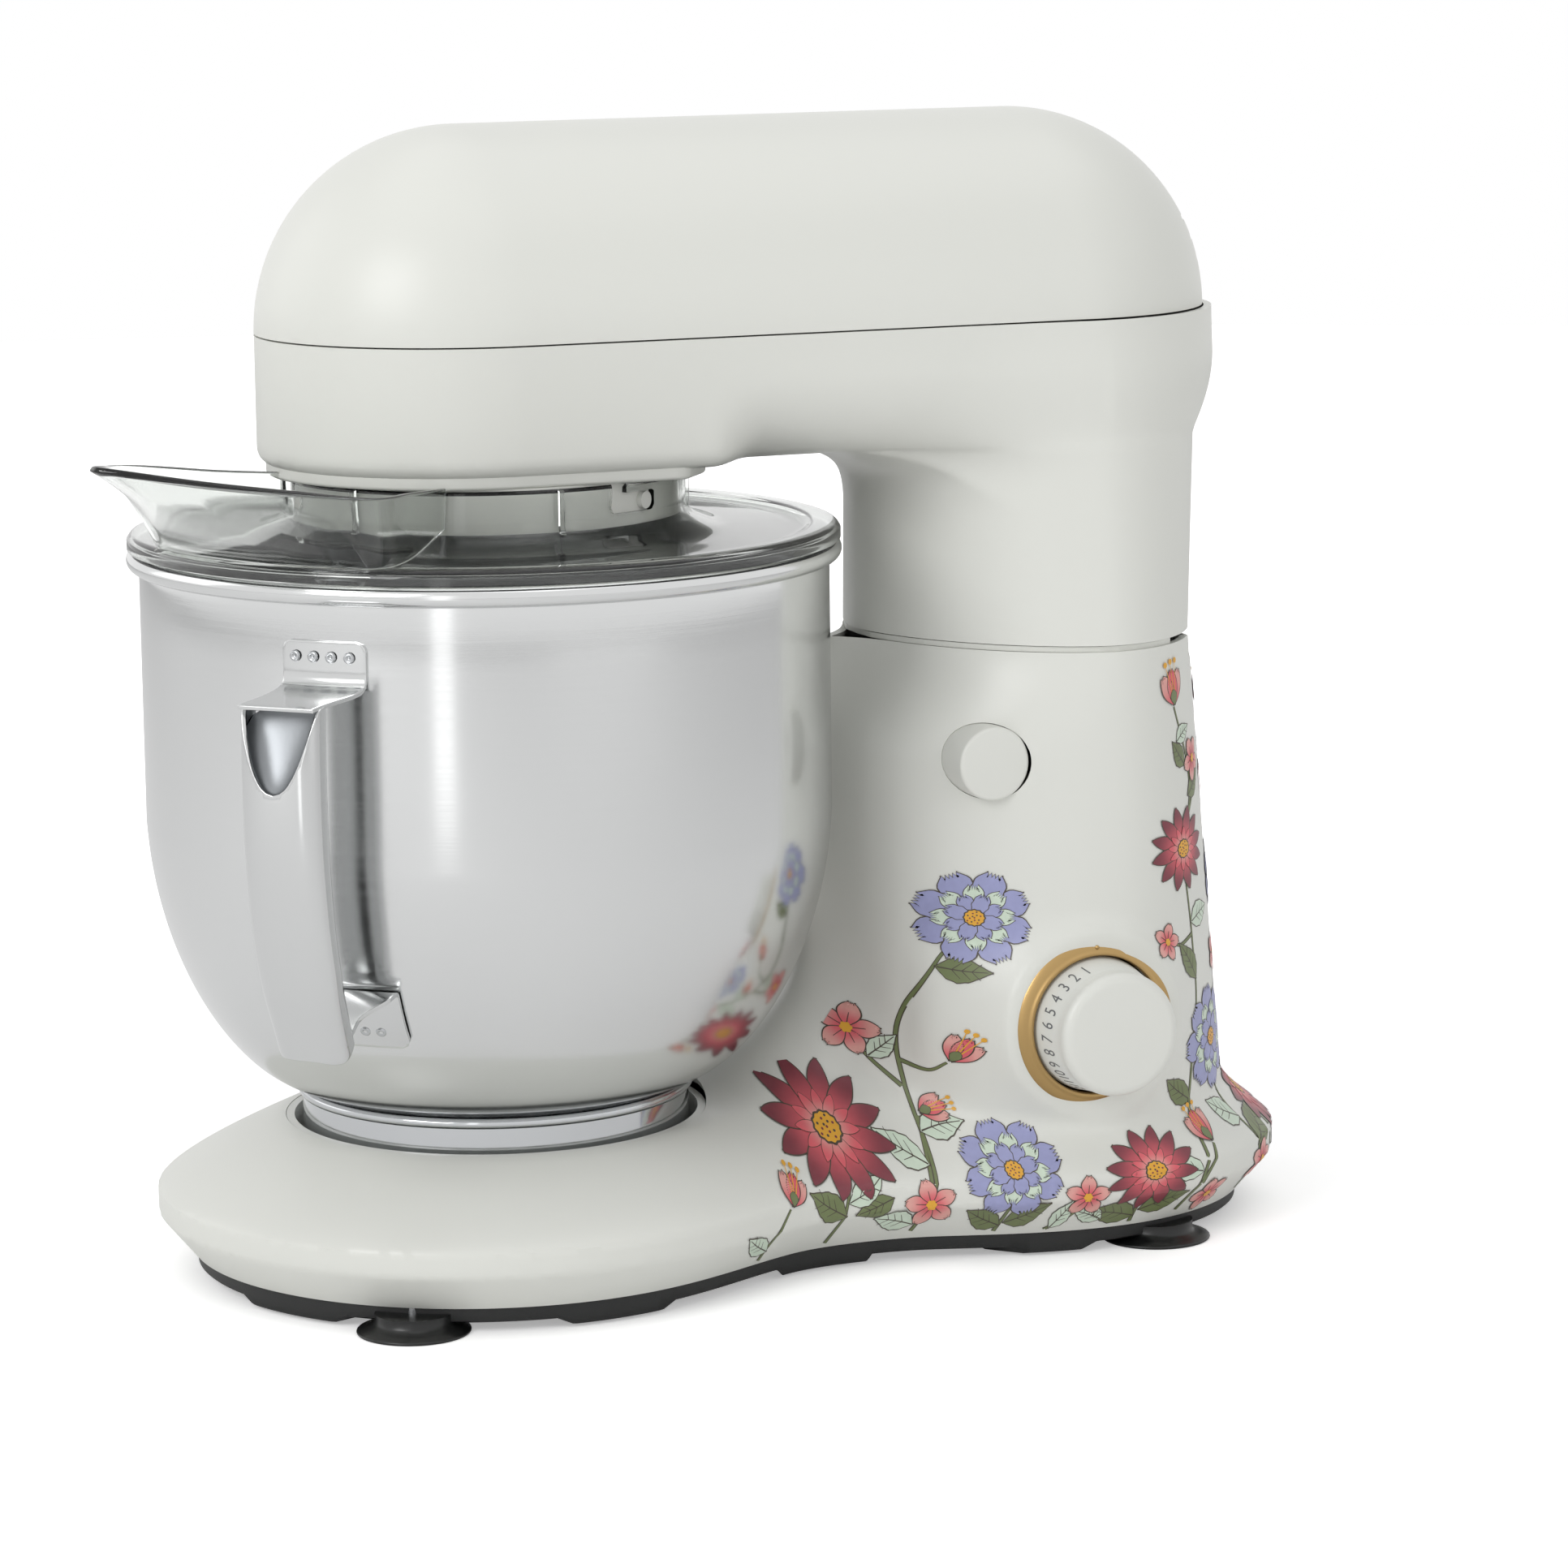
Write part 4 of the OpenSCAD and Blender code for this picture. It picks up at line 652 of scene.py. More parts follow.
# Signed angle from one direction to another, in degrees, in -180...180
def swing(x, y, direction):
    return (np.degrees(np.arctan2(y, x)) - direction + 180) % 360 - 180


# Below nothing inside a window between two directions and two heights or radii
def window(x, y, along, start, end, low, high):
    middle, half = (start + end) / 2, (end - start) / 2
    across = (np.abs(swing(x, y, middle)) - half) * math.pi / 180 * np.hypot(x, y)
    return np.maximum(across, np.abs(along - (low + high) / 2) - (high - low) / 2)


def makeGuard():
    g = guard
    r = g["collarR"]
    line = np.concatenate([
        [[r - 0.5, g["topZ"]], [r, g["topZ"] - 0.5], [r, 244], [r, 240.5], [r, 238.2]],
        curve([[r, 236.6], [r + 0.5, 235.0], [r + 2.2, 233.6], [r + 5.0, 232.0], [r + 11, 229.9],
               [r + 19, 229.2], [r + 28, 228.8], [r + 34.5, 228.8]], 4),
        curve([[98.0, 229.3], [99.6, 230.3], [101.0, 230.7], [105.6, 230.7], [107.8, 230.2],
               [g["flangeR"], 228.6]], 4),
        [[g["flangeR"], 227.2], [g["flangeR"], g["flangeZ"]]]])
    points, faces = turned(line, 360)
    cutters = [lambda x, y, z: window(x, y, np.hypot(x, y), *g["opening"], *g["openingR"])]
    for a in g["lugs"]:
        for start, end, low, high in g["slots"]:
            cutters.append(lambda x, y, z, where=(a + start, a + end, low, high):
                           np.where(z > g["slotFrom"], window(x, y, z, *where), 9.0))
    addPiece("splashGuard", cutSkin(points, faces, cutters), "guard", "guard_clear", "guardClear", "splash_guard",
             sharp=38, modifiers=[thickened(g["sheet"])])
    rib = np.array([[r, 247.4], [r + 1.3, 247.0], [r + 1.3, 236.4], [r + 2.2, 234.2], [r, 234.6]])
    ribs = [ribbed(rib, a + turn, g["ribHalf"]) for a in g["lugs"] for turn in g["ribTurns"]]
    addPiece("guardRibs", joined(ribs), "guard", "guard_clear", "guardClear", sharp=38)


# A flat plate with the outline (radius, height), standing radially in one direction
def ribbed(outline, direction, half):
    a = math.radians(direction)
    out, across = np.array([math.cos(a), math.sin(a), 0]), np.array([-math.sin(a), math.cos(a), 0])
    flat = outline[:, :1] * out + outline[:, 1:] * [0, 0, 1]
    n = len(outline)
    points = np.concatenate([flat - across * half, flat + across * half])
    return points, gridFaces(2, n, closeCols=True).tolist() + [list(range(n))[::-1], list(range(n, 2 * n))]


makeGuard()


# ---- pour chute: from a line along the collar, a radial wall, the flange and a far wall, up and out to a lip
chute = {"foot": [(-32.0, -53.5), (-47, -71.5), (-59.5, -85.0), (-69.0, -78.0), (-79, -67.5), (-89, -53.5),
                  (-97.5, -36), (-102.5, -18), (-102.5, -7.5), (-83, -5.0), (-62.0, -3.6)],
         "lip": [(-31.5, -54.3), (-48, -73.5), (-64.0, -90.5), (-84, -87.5), (-110, -79.5), (-133, -69.5),
                 (-138.5, -63.5), (-133, -52), (-118, -20.0), (-88, -8.6), (-62.0, -4.2)],
         "lipZ": [249.0, 250.6, 252.0, 254.6, 258.0, 261.6, 262.2, 261.0, 257.0, 252.6, 250.0],
         "footZ": [236.6, 231.5, 230.6, 230.7, 230.7, 230.7, 230.7, 230.7, 230.7, 231.0, 236.4], "sheet": 1.8,
         "bow": 0.28}


def makeChute():
    c, n, rows = chute, 10, 22
    foot, lip = curve(c["foot"], n), curve(c["lip"], n)
    footZ = curve(np.array(c["footZ"])[:, None], n)
    lipZ = curve(np.array(c["lipZ"])[:, None], n)
    t = np.linspace(0, 1, rows)[None, :, None]
    spread = np.linalg.norm(lip - foot, axis=1)[:, None, None] / 40
    out = t + unit(spread) * c["bow"] * (t ** 2 - t)
    plan = foot[:, None] * (1 - out) + lip[:, None] * out
    z = footZ[:, None] * (1 - t) + lipZ[:, None] * t
    points = np.concatenate([plan, z], 2).reshape(-1, 3)
    addPiece("pourChute", (points, gridFaces(len(foot), rows)[:, ::-1]), "guard", "guard_clear", "guardClear",
             "pour_chute", sharp=50, modifiers=[thickened(c["sheet"]), edged(0.4)])


makeChute()
print("guard and chute made")


# ---- handle: a tab on the bowl, a strip out to a hollow grip with its outer face cut away at the top,
# and a lower arm to a second tab
grip = {"direction": -135.0, "half": 12.6, "sheet": 1.3,
        "outer": [(86.5, 120.5), (96, 124.2), (110, 129.4), (128, 133.6), (150, 136.4), (172, 137.2), (188, 136.8),
                  (194.2, 136.2)],
        "inner": [(86.5, 107.0), (96, 111.5), (110, 117.5), (128, 122.0), (150, 124.4), (172, 125.0), (188, 124.6),
                  (194.2, 124.0)],
        "mouth": (169.0, 25.0, 2.2), "backTop": 194.0, "footZ": (88.0, 9.0, 2.6), "wallR": 106.6, "topZ": 209.2,
        "lowZ": 86.99, "corner": 3.0, "dimples": (-4.8, -1.6, 1.5, 4.6), "lowDimples": (3.0, 6.0), "shift": 5.0}
gripEdges = [thickened(grip["sheet"]), edged(0.3)]


# Frame of the handle: out from the bowl's axis, across, and up
def onGrip(out, across, z):
    a = math.radians(grip["direction"])
    return np.stack([out * math.cos(a) - across * math.sin(a), out * math.sin(a) + across * math.cos(a),
                     z + 0 * out], -1)


# How far out a point lies from the bowl's axis, and its share of the grip's half width
def alongGrip(x, y):
    d = math.radians(grip["direction"])
    return x * math.cos(d) + y * math.sin(d), (-x * math.sin(d) + y * math.cos(d)) / grip["half"]


# The grip has a D section: a flattish outer face, round corners, and a back that comes to a soft seam
def makeGrip():
    g, n = grip, 72
    outer, inner = curve(g["outer"], 8), curve(g["inner"], 8)
    z, far, near = outer[:, 0][:, None], outer[:, 1][:, None], inner[:, 1][:, None]
    a = np.linspace(0, 2 * math.pi, n, endpoint=False)[None]
    c, s = np.cos(a), np.sin(a)
    half = g["half"] * (1 - 0.10 * ease((120 - z) / 34))
    across = half * np.sign(s) * np.abs(s) ** 0.68
    ahead = np.abs(c) ** np.where(c > 0, 0.55, 0.8) * np.sign(c)
    bulge = 1.8 * (1 - (across / half) ** 2)
    out = (far + near) / 2 + (far - near) / 2 * ahead + np.where(c > 0, bulge, 0)
    points = onGrip(out, across, np.repeat(z, n, 1)).reshape(-1, 3)

    # the front of the top is cut away in a U, and the back is left at full height
    def topCut(x, y, z):
        r, w = alongGrip(x, y)
        return mix(g["backTop"], mouthEdge(w), ease((r - 125.4) / 3.2)) - z

    # the bottom rises towards the bowl, and its corners drop a little
    def lowCut(x, y, z):
        r, w = alongGrip(x, y)
        low, rise, drop = g["footZ"]
        return z - (low + rise * ease((122 - r) / 13) - drop * unit(w) ** 2)

    addPiece("handleGrip", cutSkin(points, gridFaces(len(outer), n, closeCols=True), [topCut, lowCut]), "bowl",
             "bowl_steel", "gripSteel", "bowl_handle", sharp=50, modifiers=gripEdges)


# Height of the U-shaped edge of the grip's opening, at a share w of its half width
def mouthEdge(w):
    low, rise, power = grip["mouth"]
    return low + rise * np.abs(w) ** power


# Floor of the grip's opening: from the grip's back wall down to its front lip, in the darker, rougher bracket steel,
# whose dark colour is painted shade inside the opening
def makeScoop():
    g = grip
    w = np.linspace(-0.88, 0.88, 25)[None]
    t = np.linspace(0, 1, 20)[:, None]
    front = 130.9 + 6.1 * (1 - np.abs(w) ** 2.94) ** 0.27 + 1.8 * (1 - w ** 2) - g["sheet"]
    lip = mouthEdge(w) - 0.4
    fall = lip + (g["backTop"] - 0.6 - lip) * (1 - t) ** 1.7
    points = onGrip(mix(126.2, front, t), w * g["half"] + 0 * t, fall).reshape(-1, 3)
    addPiece("handleScoop", (points, gridFaces(20, 25)), "bowl", "bowl_steel", "bracketSteelAndScoopShade", sharp=60)


# A strip of the handle from points (out, across, height)
def addStrip(name, out, across, z):
    points = onGrip(out, across, z[:, None] + 0 * across)
    addPiece(name, (points.reshape(-1, 3), gridFaces(*across.shape)), "bowl", "bowl_steel", "gripSteel",
             sharp=50, modifiers=gripEdges)


# What a round corner takes off a strip's half width, where t is the way in from its end
def cornerOff(t):
    return grip["corner"] * (1 - np.sqrt(1 - (1 - unit(t)) ** 2))


# Upper strip: down the wall, round a bend and out over the top of the grip
def makeBridge():
    g = grip
    line = curve([(0, g["topZ"]), (0, 204), (0, 199.5), (0.6, 197.2), (2.6, 195.6), (8, 194.9), (18, 194.6),
                  (27, 194.4), (29.6, 194.2)], 6)
    reach, z = line.T
    half = mix(13.6, 12.2, ease(reach / 20)) - cornerOff((g["topZ"] - z) / g["corner"])
    across = half[:, None] * np.linspace(-1, 1, 25)[None]
    hug = 1 - ease(reach / 9)[:, None]
    wall = g["wallR"] - hug * (g["wallR"] - np.sqrt(g["wallR"] ** 2 - across ** 2))
    addStrip("handleBridge", wall + reach[:, None], across, z)


# Lower arm: from inside the grip down to the bowl's curved wall, then along it
def makeArm():
    g = grip
    line = curve([(119.5, 93.0), (114, 97.5), (106, 102.6), (101.2, 104.9), (99.4, 104.4), (98.2, 101.6),
                  (96.9, 98.2), (94.6, 93.0), (91.2, 87.0)], 6)
    reach, z = line.T
    half = mix(11.4, 12.6, ease((112 - reach) / 10)) - cornerOff((z - g["lowZ"]) / g["corner"])
    reach = reach[:, None]
    across = half[:, None] * np.linspace(-1, 1, 25)[None] + g["shift"] * ease((112 - reach) / 10)
    hug = ease((104 - reach) / 5)
    addStrip("handleArm", reach - hug * (reach - np.sqrt(reach ** 2 - across ** 2)), across, z)


# Small rings where the tabs are spot-welded to the bowl
def makeDimples():
    g = grip
    line = np.array([[0, -0.45], [0.45, -0.3], [0.8, 0.12], [1.15, 0.22], [1.5, 0.1], [1.7, -0.5]])
    parts = []
    places = [(t, 107.5, 204.5, 0) for t in g["dimples"]] + [(t, 95.5, 91.6, 34) for t in g["lowDimples"]]
    for turn, r, z, lean in places:
        a, e = math.radians(g["direction"] + turn), math.radians(-lean)
        out = np.array([math.cos(a) * math.cos(e), math.sin(a) * math.cos(e), math.sin(e)])
        side = np.array([-math.sin(a), math.cos(a), 0])
        up = np.cross(out, side)
        b = np.linspace(0, 2 * math.pi, 20, endpoint=False)[:, None, None]
        p = (np.array([math.cos(a) * r, math.sin(a) * r, z]) + out * line[None, :, 1:]
             + (side * np.cos(b) + up * np.sin(b)) * line[None, :, :1])
        parts.append((p.reshape(-1, 3), gridFaces(20, len(line), closeRows=True)))
    addPiece("handleDimples", joined(parts), "bowl", "bowl_steel", "screwSteel", "handle_grommet", sharp=60)


makeGrip()
makeScoop()
makeBridge()
makeArm()
makeDimples()
print("handle made")


# ---- flat beater: a rounded loop with a middle bar and two bowed cross bars, on a round hub
beater = {"off": 45.0, "direction": 158.0, "wide": 3.9, "thick": 3.4,
          "half": [(76.2, 0.0), (76.6, 9.0), (79.0, 18.0), (85.0, 25.6), (95.0, 30.0), (112, 32.2), (132, 33.4),
                   (150, 33.2), (164, 29.6), (174, 22.0), (180.5, 12.0), (182.5, 0.0)],
          "bars": [[(0, 79), (0, 105), (0, 140), (0, 182)],
                   [(-30, 108), (-15, 103.2), (0, 101.8), (15, 103.2), (30, 108)],
                   [(-32, 146), (-16, 140.6), (0, 139.2), (16, 140.6), (32, 146)]],
          "barWide": 2.7, "barThick": 2.5}


# A bar of rounded section along a line (across, height) in the beater's plane
def flatBar(line, wide, thick, closed=False):
    b, k = beater, 24
    d = np.roll(line, -1, 0) - np.roll(line, 1, 0) if closed else np.gradient(line, axis=0)
    n = np.stack([-d[:, 1], d[:, 0]], 1) / np.linalg.norm(d, axis=1)[:, None]
    a = np.linspace(0, 2 * math.pi, k, endpoint=False)
    c, s = np.cos(a), np.sin(a)
    flat = line[:, None] + n[:, None] * (wide * np.sign(c) * np.abs(c) ** 0.6)[None, :, None]
    depth = thick * np.sign(s) * np.abs(s) ** 0.6 + 0 * flat[..., 0]
    t = math.radians(b["direction"])
    reach = b["off"] + flat[..., 0]
    points = np.stack([reach * math.cos(t) - depth * math.sin(t), reach * math.sin(t) + depth * math.cos(t),
                       flat[..., 1]], 2).reshape(-1, 3)
    faces = gridFaces(len(line), k, closeRows=closed, closeCols=True).tolist()
    if not closed:
        faces += [list(range(k))[::-1], list(range(len(points) - k, len(points)))]
    return points, faces


def makeBeater():
    b = beater
    half = curve([(u, z) for z, u in b["half"]], 8)
    loop = np.concatenate([half, half[-2:0:-1] * [-1, 1]])
    parts = [flatBar(loop, b["wide"], b["thick"], closed=True)]
    parts += [flatBar(curve(line, 8), b["barWide"], b["barThick"]) for line in b["bars"]]
    hub, faces = turned([(0, 176), (3.2, 176.3), (5.4, 177.8), (7.2, 180.6), (8, 185), (8, 210.8), (7.6, 211.6),
                         (6.8, 212), (6.3, 211.6), (6.3, 203.6), (0, 203.6)], 64)
    t = math.radians(b["direction"])
    parts.append((hub + [b["off"] * math.cos(t), b["off"] * math.sin(t), 0], faces))
    addPiece("flatBeater", joined(parts), "beater", "cast_alloy", "castAlloy", "flat_beater")


makeBeater()
print("beater made")


# A profile of (radius, distance out) carried round a line along -y through a point (x, z)
def turnedOut(profile, centre, steps=128):
    points, faces = turned(profile, steps)
    return np.stack([centre[0] + points[:, 0], -points[:, 2], centre[1] + points[:, 1]], 1), faces


# ---- speed dial
dial = {"bezel": [(21.7, 70.5), (21.7, 75.6), (22.0, 76.0), (22.5, 76.1), (23.0, 75.9), (23.3, 75.5), (23.9, 75.3),
                  (26.2, 74.3), (26.6, 73.8), (26.6, 70.0)],
        "knob": [(21.2, 72.2), (21.2, 73.6), (21.05, 74.2), (20.9, 75.0), (19.5, 86.0), (19.35, 86.2)],
        "root": (20.9, 75.0), "slope": -0.1273, "faceR": 19.4, "edge": 3.2, "face": 93.4,
        "first": 20.0, "spacing": 12.4, "digits": (78.2, 84.6), "digitWide": 2.7, "digitLift": 0.07,
        "dotOut": 74.9, "dotUp": 24.3}
letter = {"high": 0.72, "wide": 0.62, "longEdge": 0.3}  # of Blender's own font, at size 1


def makeDial():
    d = dial
    ring = turnedOut(np.concatenate([d["bezel"], [[21.7, 70.0], [21.7, 70.5]]]), base["knob"])
    line = [[0, 0.8], [0.4, 0.7], [0.7, 0.35], [0.8, -0.2]]
    dot, faces = turned(line, 16)
    dot = np.stack([base["knob"][0] + dot[:, 0], -(d["dotOut"] + dot[:, 2]),
                    base["knob"][1] + d["dotUp"] + dot[:, 1]], 1)
    addPiece("speedBezel", joined([ring, (dot, faces)]), "base", "bezel_gold", "bezelGold", "speed_bezel")
    cap = arc((d["faceR"] - d["edge"], d["face"] - d["edge"]), d["edge"], 0, 90, 12)
    face = [[12, d["face"] + 0.15], [6, d["face"] + 0.25], [0, d["face"] + 0.3]]
    inside = [[0, 92], [16.5, 92], [16.5, 72.2], [21.2, 72.2]]
    knob = turnedOut(np.concatenate([d["knob"], cap, face, inside]), base["knob"])
    addPiece("speedKnob", knob, "knob", "shell_white", "shellWhite", "speed_knob")


# A number as a flat mesh of short edges, its foot on the line y = 0
def flatNumber(number):
    text = bpy.data.curves.new("number", "FONT")
    text.body, text.size, text.resolution_u = str(number), 1.0, 3
    text.align_x, text.align_y = "CENTER", "BOTTOM_BASELINE"
    holder = bpy.data.objects.new("number", text)
    bpy.context.scene.collection.objects.link(holder)
    flat = bpy.data.meshes.new_from_object(holder)
    made = bmesh.new()
    made.from_mesh(flat)
    bmeshOps.triangulate(made, faces=made.faces)
    longEdges = [e for e in made.edges if e.calc_length() > letter["longEdge"]]
    bmeshOps.subdivide_edges(made, edges=longEdges, cuts=1)
    made.to_mesh(flat)
    made.free()
    bpy.data.objects.remove(holder)
    return np.array([v.co[:] for v in flat.vertices]), [list(q.vertices) for q in flat.polygons]


# Plain numbers round the knob's side, their feet towards its face
def makeNumbers():
    d = dial
    parts = []
    for k in range(12):
        p, f = flatNumber(k + 1)
        depth = mix(d["digits"][1], d["digits"][0], p[:, 1] / letter["high"])
        r = d["root"][0] + d["slope"] * (depth - d["root"][1]) + d["digitLift"]
        a = math.radians(d["first"] + d["spacing"] * k) - p[:, 0] * d["digitWide"] / letter["wide"] / r
        parts.append((np.stack([base["knob"][0] - r * np.sin(a), -depth, base["knob"][1] + r * np.cos(a)], 1), f))
    piece = newPiece("dialNumbers", *joined(parts), "knob", "shell_white")
    piece.data.materials.append(finishes["dialInk"])


makeDial()
makeNumbers()


# ---- release button: a cap with a rounded edge, hollow inside round a core, and a stem that holds the slider
button = {"face": 66.6, "edge": 1.2, "back": 44.5, "stemR": 4.0, "stemEnd": 26.5, "coreR": 5.6, "hollowR": 9.9,
          "hollowEnd": 62.5}


def makeButton():
    b, r, face, edge = button, base["buttonR"], button["face"], button["edge"]
    line = np.concatenate([
        [[r, 46], [r, 60]], arc((r - edge, face - edge), edge, 0, 90, 8),
        [[7, face + 0.15], [3, face + 0.25], [0, face + 0.28]],
        [[0, b["stemEnd"]], [b["stemR"], b["stemEnd"]], [b["stemR"], b["back"]], [b["coreR"], b["back"]]],
        [[b["coreR"], b["hollowEnd"]], [b["hollowR"], b["hollowEnd"]], [b["hollowR"], b["back"]], [r, b["back"]]]])
    addPiece("releaseButton", turnedOut(line, base["button"], 96), "button", "shell_white", "shellWhite",
             "release_button")


makeButton()
print("controls made")


# ---- tray under the base, its lower edge stepped down in places, and four suction feet
under = {"bottomZ": 3.2, "floorZ": 5.2, "stepZ": 1.0, "steps": ((165, 7), (131, 6.5), (89, 15.7), (44, 4.6)),
         "middleX": 85.0, "feet": ((-52, -74), (-52, 74), (197, -63), (197, 63))}


# Outline of the base at its lower edge: distance from a point inside it, found by halving
def outlineAt(angles, z, inset):
    low, high = np.full(angles.shape, 20.0), np.full(angles.shape, 230.0)
    for _ in range(34):
        r = (low + high) / 2
        inside = baseShape(under["middleX"] + r * np.cos(angles), r * np.sin(angles), z + 0 * r) + inset < 0
        low, high = np.where(inside, r, low), np.where(inside, high, r)
    return (low + high) / 2


def makeTray():
    u, n = under, 720
    a = np.linspace(-math.pi, math.pi, n, endpoint=False)
    turn = np.abs(np.degrees(a))
    drop = np.max([unit((half - np.abs(turn - middle)) / 1.6) for middle, half in u["steps"]], 0)
    bottom = mix(u["bottomZ"], u["stepZ"], drop)
    rings = []
    for inset, z in ((1.7, 8.6), (1.5, 7.9), (1.9, bottom + 0.5), (2.5, bottom), (9.0, bottom), (10.0, u["floorZ"]),
                     (40, u["floorZ"])):
        r = outlineAt(a, 8.2, inset)
        rings.append(np.stack([u["middleX"] + r * np.cos(a), r * np.sin(a), z + 0 * a], 1))
    points = np.concatenate(rings + [[[u["middleX"], 0, u["floorZ"]]]])
    faces = gridFaces(len(rings), n, closeCols=True).tolist()
    last, end = (len(rings) - 1) * n, len(rings) * n
    faces += [[last + k, end, last + (k + 1) % n] for k in range(n)]
    addPiece("baseTray", (points, faces), "base", "tray_black", "trayBlack", "base_tray")


# Four suction cups, each on a short round block
def makeFeet():
    cup = np.concatenate([[[0, 1.6], [7, 1.5], [12, 0.7], [15.5, 0.05], [16.6, 0.0]],
                          arc((16.6, 0.55), 0.55, -90, 60, 6),
                          [[14, 2.0], [12.4, 2.7], [11.6, 3.8], [11.6, 6.0], [0, 6.0]]])
    p, f = turned(cup, 72)
    addPiece("suctionFeet", joined([(p + [x, y, 0], f) for x, y in under["feet"]]), "base", "foot_rubber",
             "footRubber", "suction_feet", sharp=50)


makeTray()
makeFeet()
print("tray and feet made")


# ---- printed flowers: thin shapes laid on the base, drawn in a plane of distance round it and height
ink = {"maroon": "#7a3540", "coral": "#d9606a", "blue": "#9a9dc6", "sage": "#6f7a50", "mint": "#cddcca",
       "mustard": "#e0a636", "blush": "#dfa39b", "line": "#4a4238"}
lays = {"stemEdge": 0.10, "stem": 0.14, "leaf": 0.18, "flower": 0.29, "next": 0.05}  # height over the shell
printArea = {"low": 9.0, "high": 187.0, "end": 276.0, "dialR": 27.2, "turnFrom": 170.0, "turnR": 70.0}
flowers = [  # kind, place, size, turn, squeeze
    ("daisy", (92, 42), 19.0, 10, 0.92), ("frill", (137, 107), 14.5, 25, 0.95), ("daisy", (206, 124), 15.5, 40, 0.85),
    ("frill", (142, 30), 14.5, 60, 0.9), ("frill", (222, 61), 17.5, 5, 0.9), ("daisy", (184, 27), 14.0, 75, 0.85),
    ("frill", (243, 110), 12.5, 20, 0.9), ("daisy", (252, 38), 14.5, 0, 0.9), ("bell", (203, 170), 10.5, 100, 1.0),
    ("five", (108, 68), 7.5, 0, 1.0), ("five", (116, 21), 8.0, 30, 0.9), ("five", (216, 151), 7.0, 50, 1.0),
    ("five", (164, 21), 7.0, 15, 0.9), ("five", (196, 96), 5.5, 0, 1.0), ("five", (234, 86), 6.5, 70, 1.0),
    ("five", (235, 143), 6.5, 20, 1.0), ("bell", (130, 62), 8.0, 60, 1.0), ("bell", (207, 32), 8.5, 105, 1.0),
    ("bell", (68, 27), 7.5, 60, 1.0), ("five", (206, 15), 6.0, 40, 0.9), ("frill", (266, 76), 12.5, 40, 1.0),
    ("daisy", (264, 132), 12.0, 15, 1.0), ("bell", (122, 45), 7.0, 20, 1.0), ("five", (231, 20), 7.0, 10, 0.9),
    ("bell", (236, 166), 8.0, 80, 1.0),
]
stems = [
    [(84, 9), (88, 22), (92, 42)], [(112, 9), (120, 38), (119, 70), (127, 92), (137, 106)],
    [(196, 9), (204, 36), (211, 84), (206, 123)], [(138, 9), (140, 18), (142, 29)], [(228, 9), (228, 32), (222, 60)],
    [(181, 9), (181, 16), (184, 26)], [(240, 9), (246, 52), (248, 84), (243, 109)], [(258, 9), (257, 22), (252, 37)],
    [(206, 124), (213, 144), (203, 169)], [(119, 52), (112, 60), (108, 67)], [(211, 134), (217, 143), (216, 150)],
    [(243, 110), (242, 126), (235, 142)], [(227, 62), (234, 74), (234, 85)], [(58, 9), (61, 17), (67, 26)],
    [(153, 9), (160, 14), (164, 20)], [(200, 20), (204, 26), (207, 31)], [(119, 60), (125, 58), (129, 61)],
    [(268, 9), (272, 40), (266, 74)], [(247, 92), (258, 112), (264, 131)], [(236, 144), (240, 154), (236, 165)],
    [(116, 26), (119, 36), (121, 44)], [(210, 96), (203, 94), (197, 96)], [(228, 26), (230, 22), (231, 20)],
]
leaves = [  # foot, length, width, direction, colour
    ((88, 20), 15, 4.6, 152, "sage"), ((89, 24), 14, 4.0, 20, "mint"), ((118, 32), 15, 4.2, 150, "mint"),
    ((127, 91), 13, 4.0, -10, "sage"), ((120, 40), 13, 4.0, 20, "mint"), ((140, 13), 14, 4.2, 22, "sage"),
    ((139, 12), 13, 3.8, 158, "sage"), ((211, 82), 15, 4.2, 118, "sage"), ((210, 100), 15, 4.4, 18, "mint"),
    ((228, 26), 16, 4.8, 28, "sage"), ((228, 34), 15, 4.2, 156, "mint"), ((181, 12), 15, 4.2, 160, "sage"),
    ((182, 14), 15, 4.2, 22, "sage"), ((246, 60), 13, 4.0, 150, "sage"), ((248, 76), 13, 4.0, 30, "mint"),
    ((211, 140), 13, 3.6, 24, "sage"), ((209, 150), 11, 3.4, 140, "sage"), ((242, 124), 12, 3.6, 28, "mint"),
    ((60, 13), 12, 3.6, 150, "mint"), ((155, 10), 11, 3.2, 60, "mint"), ((258, 16), 14, 4.2, 150, "sage"),
    ((112, 14), 14, 4.0, 158, "mint"), ((104, 24), 13, 3.8, 205, "sage"), ((171, 12), 11, 3.2, 150, "mint"),
    ((206, 44), 14, 4.0, 150, "sage"), ((200, 24), 13, 3.8, 160, "mint"),
    ((204, 158), 10, 3.2, 30, "mint"), ((270, 36), 13, 4.0, 40, "sage"), ((270, 48), 12, 3.8, 150, "mint"),
    ((256, 108), 12, 3.6, 20, "sage"), ((238, 150), 11, 3.4, 140, "sage"), ((112, 60), 10, 3.0, 40, "mint"),
]


